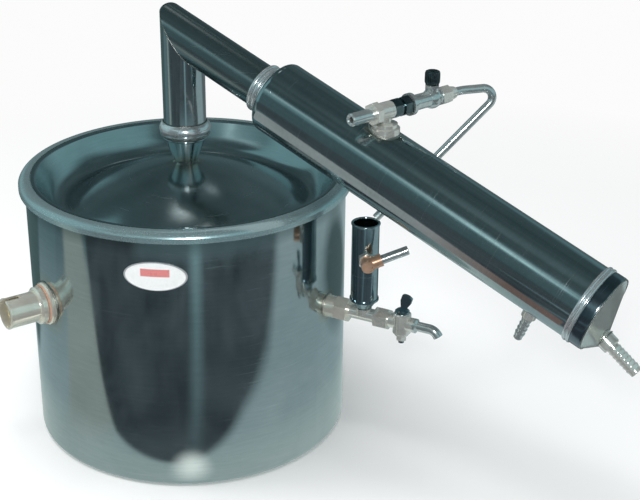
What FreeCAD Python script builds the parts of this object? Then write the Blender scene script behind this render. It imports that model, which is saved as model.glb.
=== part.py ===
import FreeCAD, Part
import math
import os

# Water still: a sheet steel boiler with a dished lid, a vapour column that turns down into
# a double walled condenser, and a small cup that keeps the boiler topped up.
# Millimetres, +Z up. The origin is the centre of the boiler's base on the bench, and +X is
# the heading of the condenser seen from above.

V = FreeCAD.Vector

# Boiler
BOILER_R = 145.0
BOILER_WALL = 1.5
BASE_CORNER_R = 5.0
RIM_Z = 240.0
RIM_FLANGE_W = 3.4
GASKET_T = 2.0
FIT_GAP = 0.05

# Lid
LID_T = 1.5
LID_SKIRT_T = 1.2
LID_SKIRT_GAP = 0.8
LID_SKIRT_H = 4.5
LID_RIDGE_INSET = 3.5
LID_RIDGE_RISE = 5.0
LID_SEAM_INSET = 5.8
LID_SEAM_GAP = 0.8
LID_EDGE_DROP = 0.4
LID_LEDGE_W = 1.8
LID_WALL_RUN = 21.2
LID_VALLEY_DEPTH = 27.0
LID_DOME_RISE = 11.8
SOCKET_FLAT_R = 12.0

# Tapered socket on the lid, its seal, and the spigot of the vapour column
SOCKET_H = 25.5
SOCKET_BOTTOM_R = 8.3
SOCKET_TOP_R = 18.3
SOCKET_T = 1.3
SOCKET_LIP_H = 2.0
SEAL_FLANGE_T = 1.5
SEAL_DEPTH = 12.0
SEAL_T = 1.5
TAPER_GAP = 0.3
SPIGOT_DEPTH = 18.0
SPIGOT_T = 1.2
BAFFLE_R = 26.0
BAFFLE_DROP = 15.0
BAFFLE_STUD_R = 1.5

# Vapour column and its collars
PIPE_R = 19.05
PIPE_T = 1.2
MITRE_Z = 370.0
MITRE_ROUND = 5.0
SLOPE_DEG = 20.6
COLLAR_W = 3.45
COLLAR_H = 10.5
NECK_LENGTH = 13.0
NECK_BEAD_R = 2.0
NECK_BEADS = 3

# Condenser, measured along its axis from the mitre
JACKET_R = 31.75
JACKET_T = 1.2
JACKET_START = 105.0
JACKET_END = 438.0
CAP_ROUND = 6.0
CAP_SKIRT = 5.0
END_BEAD_BACK = 10.0
END_BEAD_R = 1.6
END_BEADS = 2
PLATE_T = 2.0
UPPER_HEADER = 14.0
LOWER_HEADER = 22.0
TUBE_R = 4.75
TUBE_T = 0.8
TUBE_RING_R = 18.5
TUBES_IN_RING = 6

# Distillate outlet on the lower end
OUTLET_REACH = 9.0
OUTLET_DROP = 17.8
OUTLET_R = 7.8
OUTLET_SLOPE_DEG = 36.0
OUTLET_COLLAR_R = 7.4
OUTLET_COLLAR_L = 9.0
DISTILLATE_R = 5.0
DISTILLATE_L = 27.0
DISTILLATE_RIBS = 6
DISTILLATE_BORE_R = 2.7

# Cooling water inlet under the jacket
INLET_BACK = 51.5
INLET_BOSS_R = 6.2
INLET_BOSS_L = 10.0
INLET_NOZZLE_R = 3.6
INLET_NOZZLE_L = 22.0
INLET_RIBS = 4
WATER_BORE_R = 2.4

# Cooling water outlet, tee and regulating valve on top of the jacket
TEE_X = 209.0
TEE_Z = 340.0
RUN_AZ = 75.0
BOSS_FOOT_R = 12.5
BOSS_FOOT_H = 5.0
BOSS_R = 10.5
BOSS_SHOULDER_DROP = 10.0
BOSS_NECK_R = 5.4
TEE_R = 7.5
TEE_BACK = 14.5
TEE_FRONT = 5.5
DRAIN_R = 5.3
DRAIN_L = 23.0
UNION_AF = 14.5
UNION_L = 20.0
VALVE_FLANGE_R = 9.3
VALVE_FLANGE_T = 3.5
VALVE_BODY_R = 7.6
VALVE_BODY_L = 31.5
VALVE_STEM_AT = 52.5
BONNET_R = 5.6
BONNET_H = 9.5
GLAND_H = 2.5
SPINDLE_R = 1.75
SPINDLE_GAP = 0.05
KNOB_R = 6.4
KNOB_H = 11.0
KNOB_LIFT = 0.6
KNOB_GROOVES = 14
NUT_L = 18.0
NUT_AF = 14.0
NUT_NOSE_R = 5.0

# Bent metal tube from the valve to the cup
FEED_TUBE_R = 3.6
FEED_TUBE_T = 0.8
FEED_TUBE_LEAD = 9.0
FEED_TUBE_CORNER = V(260.4, 112.1, 342.0)
FEED_TUBE_LEAD_BEND_R = 16.0
FEED_TUBE_BEND_R = 8.0
CUP_AIR_GAP = 4.2
CUP_AIM_AZ = 27.0
CUP_AIM_R = 8.3

# Feed line through the boiler wall
FEED_AZ = 7.0
FEED_Z = 140.5
FEED_BOSS_R = 10.0
FEED_BOSS_L = 10.0
FEED_SPIGOT_R = 7.0
FEED_PIPE_R = 6.0
FEED_BORE_R = 2.8
FEED_NUT_AF = 20.0
FEED_NUT_L = 12.0
FEED_UNION_AF = 17.0
FEED_UNION_L = 13.0

# Constant level cup
CUP_REACH = 36.0
CUP_R = 12.0
CUP_T = 1.2
CUP_BOTTOM_Z = 156.0
CUP_TOP_Z = 228.5
CUP_LIP_R = 1.1
CUP_CONE_H = 9.0
CUP_NECK_R = 7.0
CUP_CONE_LIP = 0.9

# Overflow elbow on the cup
OVERFLOW_Z = 198.0
OVERFLOW_AZ = -52.0
OVERFLOW_RISE_DEG = 21.0
OVERFLOW_NUT_AF = 13.0
OVERFLOW_NUT_L = 4.5
ELBOW_R = 5.6
ELBOW_L = 11.0
ELBOW_ARM = 13.0
OVERFLOW_R = 4.0
OVERFLOW_L = 24.0
OVERFLOW_SPIGOT_R = 3.4
OVERFLOW_BORE_R = 2.7

# Drain cock at the end of the feed line
COCK_L = 24.0
COCK_ARM_R = 6.4
COCK_BARREL_R = 8.0
COCK_BARREL_H = 20.0
COCK_PLUG_R = 5.0
COCK_RUN_GAP = 0.05
COCK_PORT_R = 2.5
COCK_HANDLE_H = 18.0
COCK_HANDLE_W = 9.5
COCK_HANDLE_T = 3.2
COCK_HANDLE_LEAN_DEG = 16.0
COCK_WASHER_T = 1.2
COCK_NUT_AF = 8.5
COCK_NUT_H = 5.0
COCK_TAIL_R = 2.6
COCK_TAIL_H = 9.0
SPOUT_R = 4.3
SPOUT_L = 14.0
SPOUT_BEND_R = 9.0
SPOUT_BEND_DEG = 55.0

# Heater in the boiler wall
HEATER_AZ = -110.3
HEATER_Z = 149.0
HEATER_THREAD_R = 12.0
HEATER_BOSS_R = 19.0
HEATER_BOSS_L = 3.5
HEATER_WASHER_R = 17.5
HEATER_WASHER_T = 1.5
HEATER_FLANGE_R = 16.8
HEATER_FLANGE_L = 6.5
HEATER_BACKNUT_AF = 32.0
HEATER_BACKNUT_L = 5.0
HEATER_BACKNUT_GAP = 0.4
HEATER_SPIGOT_L = 19.0
SHROUD_R = 13.6
SHROUD_T = 1.3
SHROUD_L = 28.0
SHROUD_LIP_H = 2.2
SHROUD_LIP = 0.4
SHROUD_SLOT_W = 6.0
SHROUD_SLOT_L = 14.0
INSULATOR_T = 6.0
PIN_R = 2.2
PIN_L = 14.0
PIN_RING_R = 5.8
ELEMENT_R = 4.0
ELEMENT_HALF_GAP = 7.6
ELEMENT_IN = 24.0
ELEMENT_DROP = 92.0
ELEMENT_FAR = -88.0
ELEMENT_BEND_R = 14.0

# Oval badge on the boiler
BADGE_AZ = -61.4
BADGE_Z = 204.0
BADGE_W = 54.0
BADGE_H = 26.0
BADGE_T = 0.8

PAST = 2.0

# Places that follow from the values above
BOILER_BORE_R = BOILER_R - BOILER_WALL
RIM_FLANGE_R = BOILER_R + RIM_FLANGE_W
LID_SKIRT_R = RIM_FLANGE_R + LID_SKIRT_GAP + LID_SKIRT_T
LID_RIDGE_R = BOILER_R - LID_RIDGE_INSET
LID_SEAM_R = BOILER_R - LID_SEAM_INSET
LID_VALLEY_R = LID_SEAM_R - LID_WALL_RUN
LID_UNDER_Z = RIM_Z - LID_T
RIM_FLANGE_TOP_Z = LID_UNDER_Z - GASKET_T
LID_RIDGE_Z = RIM_Z + LID_RIDGE_RISE
DISH_EDGE_Z = LID_RIDGE_Z - LID_EDGE_DROP
DISH_UNDER_Z = DISH_EDGE_Z - LID_T
DOME_Z = RIM_Z + LID_DOME_RISE
VALLEY_Z = RIM_Z - LID_VALLEY_DEPTH
SOCKET_TOP_Z = DOME_Z + SOCKET_H
SPIGOT_TOP_Z = SOCKET_TOP_Z + SEAL_FLANGE_T
COLLAR_Z = SPIGOT_TOP_Z + SPIGOT_T
COLLAR_R = PIPE_R + COLLAR_W
END_BEAD_AT = JACKET_END - END_BEAD_BACK
INLET_AT = JACKET_END - INLET_BACK
CUP_AT = BOILER_R + CUP_REACH
JACKET_BORE_R = JACKET_R - JACKET_T
FEED_BOSS_END = BOILER_R + FEED_BOSS_L
FEED_UNION_AT = CUP_AT + CUP_R
COCK_AT = FEED_UNION_AT + FEED_UNION_L
COCK_PLUG_AT = COCK_AT + COCK_L / 2
VALVE_BODY_AT = TEE_FRONT + UNION_L + VALVE_FLANGE_T
NUT_AT = VALVE_BODY_AT + VALVE_BODY_L
SLOPE = math.radians(SLOPE_DEG)
CUP_X = CUP_AT * math.cos(math.radians(FEED_AZ))
CUP_Y = CUP_AT * math.sin(math.radians(FEED_AZ))


def heading(azimuth_deg, rise_deg=0.0):
    azimuth = math.radians(azimuth_deg)
    rise = math.radians(rise_deg)
    level = math.cos(rise)
    return V(level * math.cos(azimuth), level * math.sin(azimuth), math.sin(rise))


def placed(shape, origin, z_dir, x_dir=V(0, 0, 1)):
    """Moves a shape built about the Z axis so that its Z axis lies along z_dir."""
    turn = FreeCAD.Rotation(x_dir, V(0, 0, 0), z_dir, "ZXY")
    moved = shape.copy()
    moved.Placement = FreeCAD.Placement(origin, turn).multiply(moved.Placement)
    return moved


def on_condenser(shape):
    along = V(math.cos(SLOPE), 0, -math.sin(SLOPE))
    upward = V(math.sin(SLOPE), 0, math.cos(SLOPE))
    return placed(shape, V(0, 0, MITRE_Z), along, upward)


def on_run(shape):
    return placed(shape, V(TEE_X, 0, TEE_Z), heading(RUN_AZ))


def on_feed(shape):
    return placed(shape, V(0, 0, FEED_Z), heading(FEED_AZ))


def on_heater(shape):
    return placed(shape, V(0, 0, HEATER_Z), heading(HEATER_AZ))


def rod(radius, low, high):
    return Part.makeCylinder(radius, high - low, V(0, 0, low))


def pipe(radius, bore, low, high):
    return rod(radius, low, high).cut(rod(bore, low, high))


def outline(start, *steps):
    """A closed face in the X-Z plane. A step is an end point, or an arc's middle and end."""
    edges = []
    here = start
    for step in steps:
        if isinstance(step[0], tuple):
            middle, end = step
            arc = Part.Arc(V(here[0], 0, here[1]), V(middle[0], 0, middle[1]), V(end[0], 0, end[1]))
            edges.append(arc.toShape())
        else:
            end = step
            edges.append(Part.LineSegment(V(here[0], 0, here[1]), V(end[0], 0, end[1])).toShape())
        here = end
    return Part.Face(Part.Wire(edges))


def lathe(start, *steps):
    """A closed outline of radius and height points, turned about the Z axis."""
    return outline(start, *steps).revolve(V(0, 0, 0), V(0, 0, 1), 360)


def hexagon(across_flats, low, high, chamfer=0.9):
    corner = across_flats / math.sqrt(3)
    points = []
    for step in range(7):
        angle = math.radians(60 * step)
        points.append(V(corner * math.cos(angle), corner * math.sin(angle), low))
    prism = Part.Face(Part.makePolygon(points)).extrude(V(0, 0, high - low))
    bevel = 0.6 * chamfer
    limit = lathe((0, low), (corner - chamfer, low), (corner, low + bevel),
                  (corner, high - bevel), (corner - chamfer, high), (0, high), (0, low))
    return prism.common(limit)


def hose_nozzle(radius, length, ribs, bore, rib_height=0.7):
    """A nozzle along +Z from the origin, with saw-tooth ribs and a plain end."""
    pitch = length * 0.82 / ribs
    steps = [(radius, 0)]
    for rib in range(ribs):
        foot = length * 0.08 + rib * pitch
        steps.append((radius, foot))
        steps.append((radius + rib_height, foot + 0.08 * pitch))
        steps.append((radius, foot + 0.85 * pitch))
    steps.append((radius, length - 0.6))
    steps.append((radius - 0.6, length))
    steps.append((bore, length))
    steps.append((bore, 0))
    return lathe((bore, 0), *steps)


def bent_wire(points, radii):
    """Straight runs through the points, joined by tangent arcs of the given radii."""
    edges = []
    here = points[0]
    for before, corner, after, radius in zip(points, points[1:], points[2:], radii):
        back = (before - corner).normalize()
        ahead = (after - corner).normalize()
        turn = math.pi - back.getAngle(ahead)
        reach = radius * math.tan(turn / 2)
        first = corner + back * reach
        last = corner + ahead * reach
        inward = (back + ahead).normalize()
        middle = corner + inward * (radius / math.cos(turn / 2) - radius)
        edges.append(Part.LineSegment(here, first).toShape())
        edges.append(Part.Arc(first, middle, last).toShape())
        here = last
    edges.append(Part.LineSegment(here, points[-1]).toShape())
    return Part.Wire(edges)


def swept(points, radii, section_r):
    wire = bent_wire(points, radii)
    start_dir = (points[1] - points[0]).normalize()
    section = Part.Wire([Part.makeCircle(section_r, points[0], start_dir)])
    return wire.makePipeShell([section], True, False)


def boiler_void():
    return rod(BOILER_R, 0, RIM_Z)


def rounded_can(radius, low, high, corner_r):
    return lathe((0, low), (radius - corner_r, low),
                 ((radius - corner_r * (1 - math.sqrt(0.5)), low + corner_r * (1 - math.sqrt(0.5))),
                  (radius, low + corner_r)),
                 (radius, high), (0, high), (0, low))


def boiler_shell():
    flange_low = RIM_FLANGE_TOP_Z - BOILER_WALL
    outer = rounded_can(BOILER_R, 0, RIM_FLANGE_TOP_Z, BASE_CORNER_R)
    inner = rounded_can(BOILER_BORE_R, BOILER_WALL, RIM_FLANGE_TOP_Z + PAST, BASE_CORNER_R - BOILER_WALL)
    shell = outer.fuse(rod(RIM_FLANGE_R, flange_low, RIM_FLANGE_TOP_Z)).cut(inner)
    shell = shell.cut(on_feed(rod(FEED_SPIGOT_R + FIT_GAP, BOILER_R / 2, BOILER_R + PAST)))
    return shell.cut(on_heater(rod(HEATER_THREAD_R + FIT_GAP, BOILER_R / 2, BOILER_R + PAST)))


def lid_gasket():
    return pipe(RIM_FLANGE_R, BOILER_BORE_R, RIM_FLANGE_TOP_Z, LID_UNDER_Z)


def oval_badge():
    oval = Part.Ellipse(V(0, 0, 0), BADGE_W / 2, BADGE_H / 2).toShape()
    block = Part.Face(Part.Wire([oval])).extrude(V(0, 0, BOILER_R + PAST))
    sideways = V(0, 0, 1).cross(heading(BADGE_AZ))
    block = placed(block, V(0, 0, BADGE_Z), heading(BADGE_AZ), sideways)
    plate = pipe(BOILER_R + BADGE_T, BOILER_R, BADGE_Z - BADGE_H, BADGE_Z + BADGE_H)
    return plate.common(block)


def lid_dish():
    shoulder_r = LID_SEAM_R - 2.2
    wall_top = (shoulder_r - 2.4, DISH_EDGE_Z - 2.0)
    wall_foot = (LID_VALLEY_R + 3.2, VALLEY_Z + 3.4)
    valley_low = (LID_VALLEY_R, VALLEY_Z)
    dome_foot = (LID_VALLEY_R - 4.6, VALLEY_Z + 0.2)
    dome_mid_r = LID_VALLEY_R * 0.53
    dome_mid_z = VALLEY_Z + 0.65 * (DOME_Z - VALLEY_Z)

    def lowered(point):
        return (point[0], point[1] - LID_T)

    shoulder_mid = (shoulder_r - 1.4, DISH_EDGE_Z - 0.55)
    dome_mid = (dome_mid_r, dome_mid_z)
    crown = (SOCKET_FLAT_R, DOME_Z)
    eye = (SOCKET_BOTTOM_R, DOME_Z)
    return lathe((LID_SEAM_R, DISH_UNDER_Z), (LID_SEAM_R, DISH_EDGE_Z), (shoulder_r, DISH_EDGE_Z),
                 (shoulder_mid, wall_top), wall_foot, (valley_low, dome_foot), (dome_mid, crown), eye,
                 lowered(eye), lowered(crown), (lowered(dome_mid), lowered(dome_foot)),
                 (lowered(valley_low), lowered(wall_foot)), lowered(wall_top),
                 (lowered(shoulder_mid), lowered((shoulder_r, DISH_EDGE_Z))), (LID_SEAM_R, DISH_UNDER_Z))


def lid_rim():
    """A ring with a rounded top that slopes outward, a short skirt and a ledge under the dish."""
    groove_r = LID_SEAM_R + LID_SEAM_GAP
    ledge_r = LID_SEAM_R - LID_LEDGE_W
    ledge_out_r = groove_r + LID_LEDGE_W
    ledge_low = DISH_UNDER_Z - LID_T
    skirt_bore_r = LID_SKIRT_R - LID_SKIRT_T
    skirt_z = RIM_Z - LID_SKIRT_H
    brow = (LID_RIDGE_R + 0.685 * (LID_SKIRT_R - LID_RIDGE_R), RIM_Z + 0.72 * LID_RIDGE_RISE)
    return lathe((groove_r, DISH_EDGE_Z), (LID_RIDGE_R, LID_RIDGE_Z), (brow, (LID_SKIRT_R, RIM_Z)),
                 (LID_SKIRT_R, skirt_z), (skirt_bore_r, skirt_z), (skirt_bore_r, LID_UNDER_Z),
                 (ledge_out_r, LID_UNDER_Z), (ledge_out_r, ledge_low), (ledge_r, ledge_low),
                 (ledge_r, DISH_UNDER_Z), (groove_r, DISH_UNDER_Z), (groove_r, DISH_EDGE_Z))


def taper_r(z):
    """The bore radius of the lid's tapered socket at a height."""
    return SOCKET_BOTTOM_R + (SOCKET_TOP_R - SOCKET_BOTTOM_R) * (z - DOME_Z) / SOCKET_H


def vapour_socket():
    lip_z = SOCKET_TOP_Z - SOCKET_LIP_H
    foot_z = DOME_Z + 1.2
    lip_out = taper_r(SOCKET_TOP_Z) + SOCKET_T + 1.0
    return lathe((SOCKET_BOTTOM_R, DOME_Z), (SOCKET_FLAT_R, DOME_Z), (taper_r(foot_z) + SOCKET_T, foot_z),
                 (taper_r(lip_z) + SOCKET_T, lip_z),
                 ((lip_out, lip_z + SOCKET_LIP_H / 2), (taper_r(SOCKET_TOP_Z) + SOCKET_T, SOCKET_TOP_Z)),
                 (SOCKET_TOP_R, SOCKET_TOP_Z), (SOCKET_BOTTOM_R, DOME_Z))


def splash_baffle():
    plate_z = DOME_Z - LID_T - BAFFLE_DROP
    baffle = rod(BAFFLE_R, plate_z, plate_z + 1.0)
    for stud in range(3):
        foot = heading(120 * stud + 30) * (BAFFLE_R * 0.7)
        foot.z = plate_z
        stud_top = DOME_Z - 1.15 * LID_T
        baffle = baffle.fuse(Part.makeCylinder(BAFFLE_STUD_R, stud_top - plate_z, foot))
    return baffle.cut(lid_dish())


def taper_seal():
    low = SOCKET_TOP_Z - SEAL_DEPTH
    out_low = taper_r(low) - TAPER_GAP
    out_top = taper_r(SOCKET_TOP_Z) - TAPER_GAP
    flange_r = SOCKET_TOP_R + SOCKET_T
    return lathe((out_low - SEAL_T, low), (out_low, low), (out_top, SOCKET_TOP_Z),
                 (flange_r, SOCKET_TOP_Z), (flange_r, SPIGOT_TOP_Z), (out_top - SEAL_T, SPIGOT_TOP_Z),
                 (out_top - SEAL_T, SOCKET_TOP_Z), (out_low - SEAL_T, low))


def spigot_r(z):
    return min(taper_r(z), SOCKET_TOP_R) - 2 * TAPER_GAP - SEAL_T


def column_spigot():
    low = SOCKET_TOP_Z - SPIGOT_DEPTH
    neck_r = spigot_r(SOCKET_TOP_Z)
    return lathe((spigot_r(low) - SPIGOT_T, low), (spigot_r(low), low), (neck_r, SOCKET_TOP_Z),
                 (neck_r, SPIGOT_TOP_Z), (COLLAR_R, SPIGOT_TOP_Z), (COLLAR_R, COLLAR_Z),
                 (neck_r - SPIGOT_T, COLLAR_Z), (neck_r - SPIGOT_T, SOCKET_TOP_Z),
                 (spigot_r(low) - SPIGOT_T, low))


def column_collar():
    top = COLLAR_Z + COLLAR_H
    mid = COLLAR_Z + COLLAR_H * 0.5
    bore = PIPE_R + FIT_GAP
    return lathe((bore, COLLAR_Z), (COLLAR_R - 0.6, COLLAR_Z), ((COLLAR_R + 0.6, mid), (PIPE_R + 1.2, top)),
                 (bore, top), (bore, COLLAR_Z))


def half_space(point, normal):
    side = 4 * MITRE_Z
    block = Part.makeBox(side, side, side, V(-side / 2, -side / 2, 0))
    return placed(block, point, normal, V(0, 1, 0))


def mitred_bar(radius, corner_r, low, reach):
    """A solid bar that rises on the Z axis, turns at the mitre and runs down the slope."""
    along = V(math.cos(SLOPE), 0, -math.sin(SLOPE))
    corner = V(0, 0, MITRE_Z)
    facing = (V(0, 0, 1) + along).normalize()
    outward = (V(0, 0, 1) - along).normalize()
    upright = rod(radius, low, MITRE_Z + 3 * radius).cut(half_space(corner, facing))
    sloping = on_condenser(rod(radius, -3 * radius, reach)).cut(half_space(corner, facing * -1))
    centre = corner + outward * ((radius - corner_r) / abs(outward.x))
    tip = half_space(centre, V(0, 0, 1)).common(half_space(centre, along * -1))
    chord = radius - corner_r
    half_chord = math.sqrt(radius ** 2 - chord ** 2)
    ends = [V(-chord, -half_chord, centre.z), V(-chord, half_chord, centre.z)]
    arc = Part.Arc(ends[0], V(-radius, 0, centre.z), ends[1]).toShape()
    segment = Part.Face(Part.Wire([arc, Part.LineSegment(ends[1], ends[0]).toShape()]))
    rounding = segment.revolve(centre, V(0, 1, 0), 90 + SLOPE_DEG)
    bar = upright.fuse(sloping).cut(tip).fuse(rounding)
    return bar.removeSplitter()


def vapour_pipe():
    reach = JACKET_START + CAP_ROUND
    outer = mitred_bar(PIPE_R, MITRE_ROUND, COLLAR_Z, reach)
    bore = mitred_bar(PIPE_R - PIPE_T, MITRE_ROUND - PIPE_T, COLLAR_Z - PAST, reach + PAST)
    return outer.cut(bore)


def neck_collar():
    end = JACKET_START
    start = end - NECK_LENGTH
    sleeve_r = PIPE_R + 0.8
    pitch = NECK_LENGTH / NECK_BEADS
    bore = PIPE_R + FIT_GAP
    steps = [(bore, start), (sleeve_r, start)]
    for bead in range(NECK_BEADS):
        low = start + bead * pitch
        steps.append((sleeve_r, low + pitch / 2 - NECK_BEAD_R))
        steps.append(((sleeve_r + NECK_BEAD_R, low + pitch / 2), (sleeve_r, low + pitch / 2 + NECK_BEAD_R)))
    steps.append((sleeve_r, end))
    steps.append((bore, end))
    return on_condenser(lathe((bore, end), *steps))


def jacket_top_cap():
    join = JACKET_START + CAP_ROUND + CAP_SKIRT
    mid = 1 - math.sqrt(0.5)
    inner_round = CAP_ROUND - JACKET_T
    bore = PIPE_R + FIT_GAP
    return on_condenser(lathe(
        (bore, JACKET_START), (JACKET_R - CAP_ROUND, JACKET_START),
        ((JACKET_R - CAP_ROUND * mid, JACKET_START + CAP_ROUND * mid), (JACKET_R, JACKET_START + CAP_ROUND)),
        (JACKET_R, join), (JACKET_BORE_R, join), (JACKET_BORE_R, JACKET_START + CAP_ROUND),
        ((JACKET_BORE_R - inner_round * mid, JACKET_START + JACKET_T + inner_round * mid),
         (JACKET_R - CAP_ROUND, JACKET_START + JACKET_T)),
        (bore, JACKET_START + JACKET_T), (bore, JACKET_START)))


def boss_hole():
    return rod(WATER_BORE_R * 1.6, MITRE_Z * 0.8, TEE_Z).translated(V(TEE_X, 0, 0))


def at_inlet(shape):
    along = V(math.cos(SLOPE), 0, -math.sin(SLOPE))
    upward = V(math.sin(SLOPE), 0, math.cos(SLOPE))
    foot = V(0, 0, MITRE_Z) + along * INLET_AT
    return placed(shape, foot, upward * -1, along)


def cooling_jacket():
    start = JACKET_START + CAP_ROUND + CAP_SKIRT
    jacket = on_condenser(pipe(JACKET_R, JACKET_BORE_R, start, JACKET_END))
    jacket = jacket.cut(boss_hole())
    return jacket.cut(at_inlet(rod(WATER_BORE_R * 1.6, JACKET_R / 2, JACKET_R + PAST)))


def jacket_end_bead():
    bore = JACKET_R + FIT_GAP
    start = END_BEAD_AT - END_BEADS * 2 * END_BEAD_R
    band = pipe(bore + 0.5, bore, start, END_BEAD_AT)
    for bead in range(END_BEADS):
        low = start + bead * 2 * END_BEAD_R
        crest = (bore + END_BEAD_R, low + END_BEAD_R)
        band = band.fuse(lathe((bore, low), (crest, (bore, low + 2 * END_BEAD_R)), (bore, low)))
    return on_condenser(band.removeSplitter())


def tube_centres():
    centres = [V(0, 0, 0)]
    for step in range(TUBES_IN_RING):
        angle = math.radians(360 / TUBES_IN_RING * step)
        centres.append(V(TUBE_RING_R * math.cos(angle), TUBE_RING_R * math.sin(angle), 0))
    return centres


def tube_plate(start):
    plate = rod(JACKET_BORE_R, start, start + PLATE_T)
    for centre in tube_centres():
        plate = plate.cut(rod(TUBE_R, start - PAST, start + PLATE_T + PAST).translated(centre))
    return on_condenser(plate)


def upper_plate_start():
    return JACKET_START + CAP_ROUND + CAP_SKIRT + UPPER_HEADER


def lower_plate_start():
    return JACKET_END - LOWER_HEADER - PLATE_T


def condensing_tubes():
    low = upper_plate_start() - 1.5
    high = lower_plate_start() + PLATE_T + 1.5
    tubes = [pipe(TUBE_R, TUBE_R - TUBE_T, low, high).translated(centre) for centre in tube_centres()]
    return on_condenser(Part.makeCompound(tubes))


def oblique_cone(big_r, small_r, start, length, drop):
    big = Part.Wire([Part.makeCircle(big_r, V(0, 0, start), V(0, 0, 1))])
    small = Part.Wire([Part.makeCircle(small_r, V(-drop, 0, start + length), V(0, 0, 1))])
    return Part.makeLoft([big, small], True, True)


def outlet_cone():
    outer = oblique_cone(JACKET_R, OUTLET_R, JACKET_END, OUTLET_REACH, OUTLET_DROP)
    inner = oblique_cone(JACKET_BORE_R, OUTLET_R - JACKET_T, JACKET_END, OUTLET_REACH, OUTLET_DROP)
    return on_condenser(outer.cut(inner))


def on_outlet(shape):
    """Places a shape so that its Z axis leaves the low end of the outlet cone."""
    along = V(math.cos(SLOPE), 0, -math.sin(SLOPE))
    upward = V(math.sin(SLOPE), 0, math.cos(SLOPE))
    end = V(0, 0, MITRE_Z) + along * (JACKET_END + OUTLET_REACH) - upward * OUTLET_DROP
    return placed(shape, end, heading(0, -OUTLET_SLOPE_DEG), V(0, 1, 0))


def outlet_end_space():
    end = JACKET_END + OUTLET_REACH
    return on_condenser(rod(2 * JACKET_R, end - 2 * JACKET_R, end))


def outlet_collar():
    bore = DISTILLATE_BORE_R
    collar = lathe((bore, -OUTLET_R / 2), (OUTLET_COLLAR_R, -OUTLET_R / 2),
                   (OUTLET_COLLAR_R, OUTLET_COLLAR_L - 1.0), (OUTLET_COLLAR_R - 1.0, OUTLET_COLLAR_L),
                   (bore, OUTLET_COLLAR_L), (bore, -OUTLET_R / 2))
    return on_outlet(collar).cut(outlet_end_space())


def distillate_nozzle():
    nozzle = hose_nozzle(DISTILLATE_R, DISTILLATE_L, DISTILLATE_RIBS, DISTILLATE_BORE_R)
    return on_outlet(nozzle.translated(V(0, 0, OUTLET_COLLAR_L)))


def jacket_space():
    return on_condenser(rod(JACKET_R + FIT_GAP, JACKET_START, JACKET_END))


def cooling_inlet_boss():
    end = JACKET_R + INLET_BOSS_L
    boss = pipe(INLET_BOSS_R, WATER_BORE_R, JACKET_R / 2, end - 1.2)
    boss = boss.fuse(lathe((WATER_BORE_R, end - 1.2), (INLET_BOSS_R, end - 1.2), (INLET_BOSS_R - 1.2, end),
                           (WATER_BORE_R, end), (WATER_BORE_R, end - 1.2)))
    return at_inlet(boss).cut(jacket_space()).removeSplitter()


def cooling_inlet_nozzle():
    nozzle = hose_nozzle(INLET_NOZZLE_R, INLET_NOZZLE_L, INLET_RIBS, WATER_BORE_R)
    return at_inlet(nozzle.translated(V(0, 0, JACKET_R + INLET_BOSS_L)))


def water_boss():
    """The weld boss under the tee, upright, with its foot cut to the jacket."""
    low = TEE_Z - JACKET_R - BOSS_R
    foot_z = MITRE_Z - (TEE_X + BOSS_R) * math.tan(SLOPE) + JACKET_R / math.cos(SLOPE) + BOSS_FOOT_H
    shoulder_z = TEE_Z - BOSS_SHOULDER_DROP
    top_z = TEE_Z - TEE_R * 0.4
    boss = lathe((0, low), (BOSS_FOOT_R, low), (BOSS_FOOT_R, foot_z), (BOSS_R, foot_z + 1.0),
                 (BOSS_R, shoulder_z), (BOSS_NECK_R, shoulder_z + 1.1), (BOSS_NECK_R, top_z), (0, top_z),
                 (0, low))
    boss = boss.translated(V(TEE_X, 0, 0))
    boss = boss.cut(boss_hole()).cut(jacket_space())
    return boss.cut(on_run(rod(TEE_R, -TEE_BACK, TEE_FRONT)))


def outlet_tee():
    body = rod(TEE_R, -TEE_BACK, TEE_FRONT)
    collar = hexagon(2 * TEE_R + 1.6, -TEE_BACK, -TEE_BACK + 6.0)
    tee = body.fuse(collar).cut(rod(WATER_BORE_R, -TEE_BACK - PAST, TEE_FRONT + PAST))
    port = rod(WATER_BORE_R, 0, TEE_R + PAST)
    tee = tee.cut(placed(port, V(0, 0, 0), V(-1, 0, 0), V(0, 1, 0)))
    tee = on_run(tee)
    return tee.cut(water_boss())


def drain_nozzle():
    start = -TEE_BACK
    end = start - DRAIN_L
    return on_run(lathe((WATER_BORE_R, start), (DRAIN_R, start), (DRAIN_R, end + 0.8), (DRAIN_R - 0.8, end),
                        (WATER_BORE_R + 1.2, end), (WATER_BORE_R, end + 1.2), (WATER_BORE_R, start)))


def valve_union():
    half = UNION_L / 2
    waist = pipe(UNION_AF * 0.42, WATER_BORE_R, TEE_FRONT + half - 1.5, TEE_FRONT + half + 1.5)
    first = hexagon(UNION_AF, TEE_FRONT, TEE_FRONT + half - 1.5)
    second = hexagon(UNION_AF, TEE_FRONT + half + 1.5, TEE_FRONT + UNION_L)
    union = first.fuse(second).cut(rod(WATER_BORE_R, 0, NUT_AT)).fuse(waist)
    return on_run(union.removeSplitter())


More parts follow.
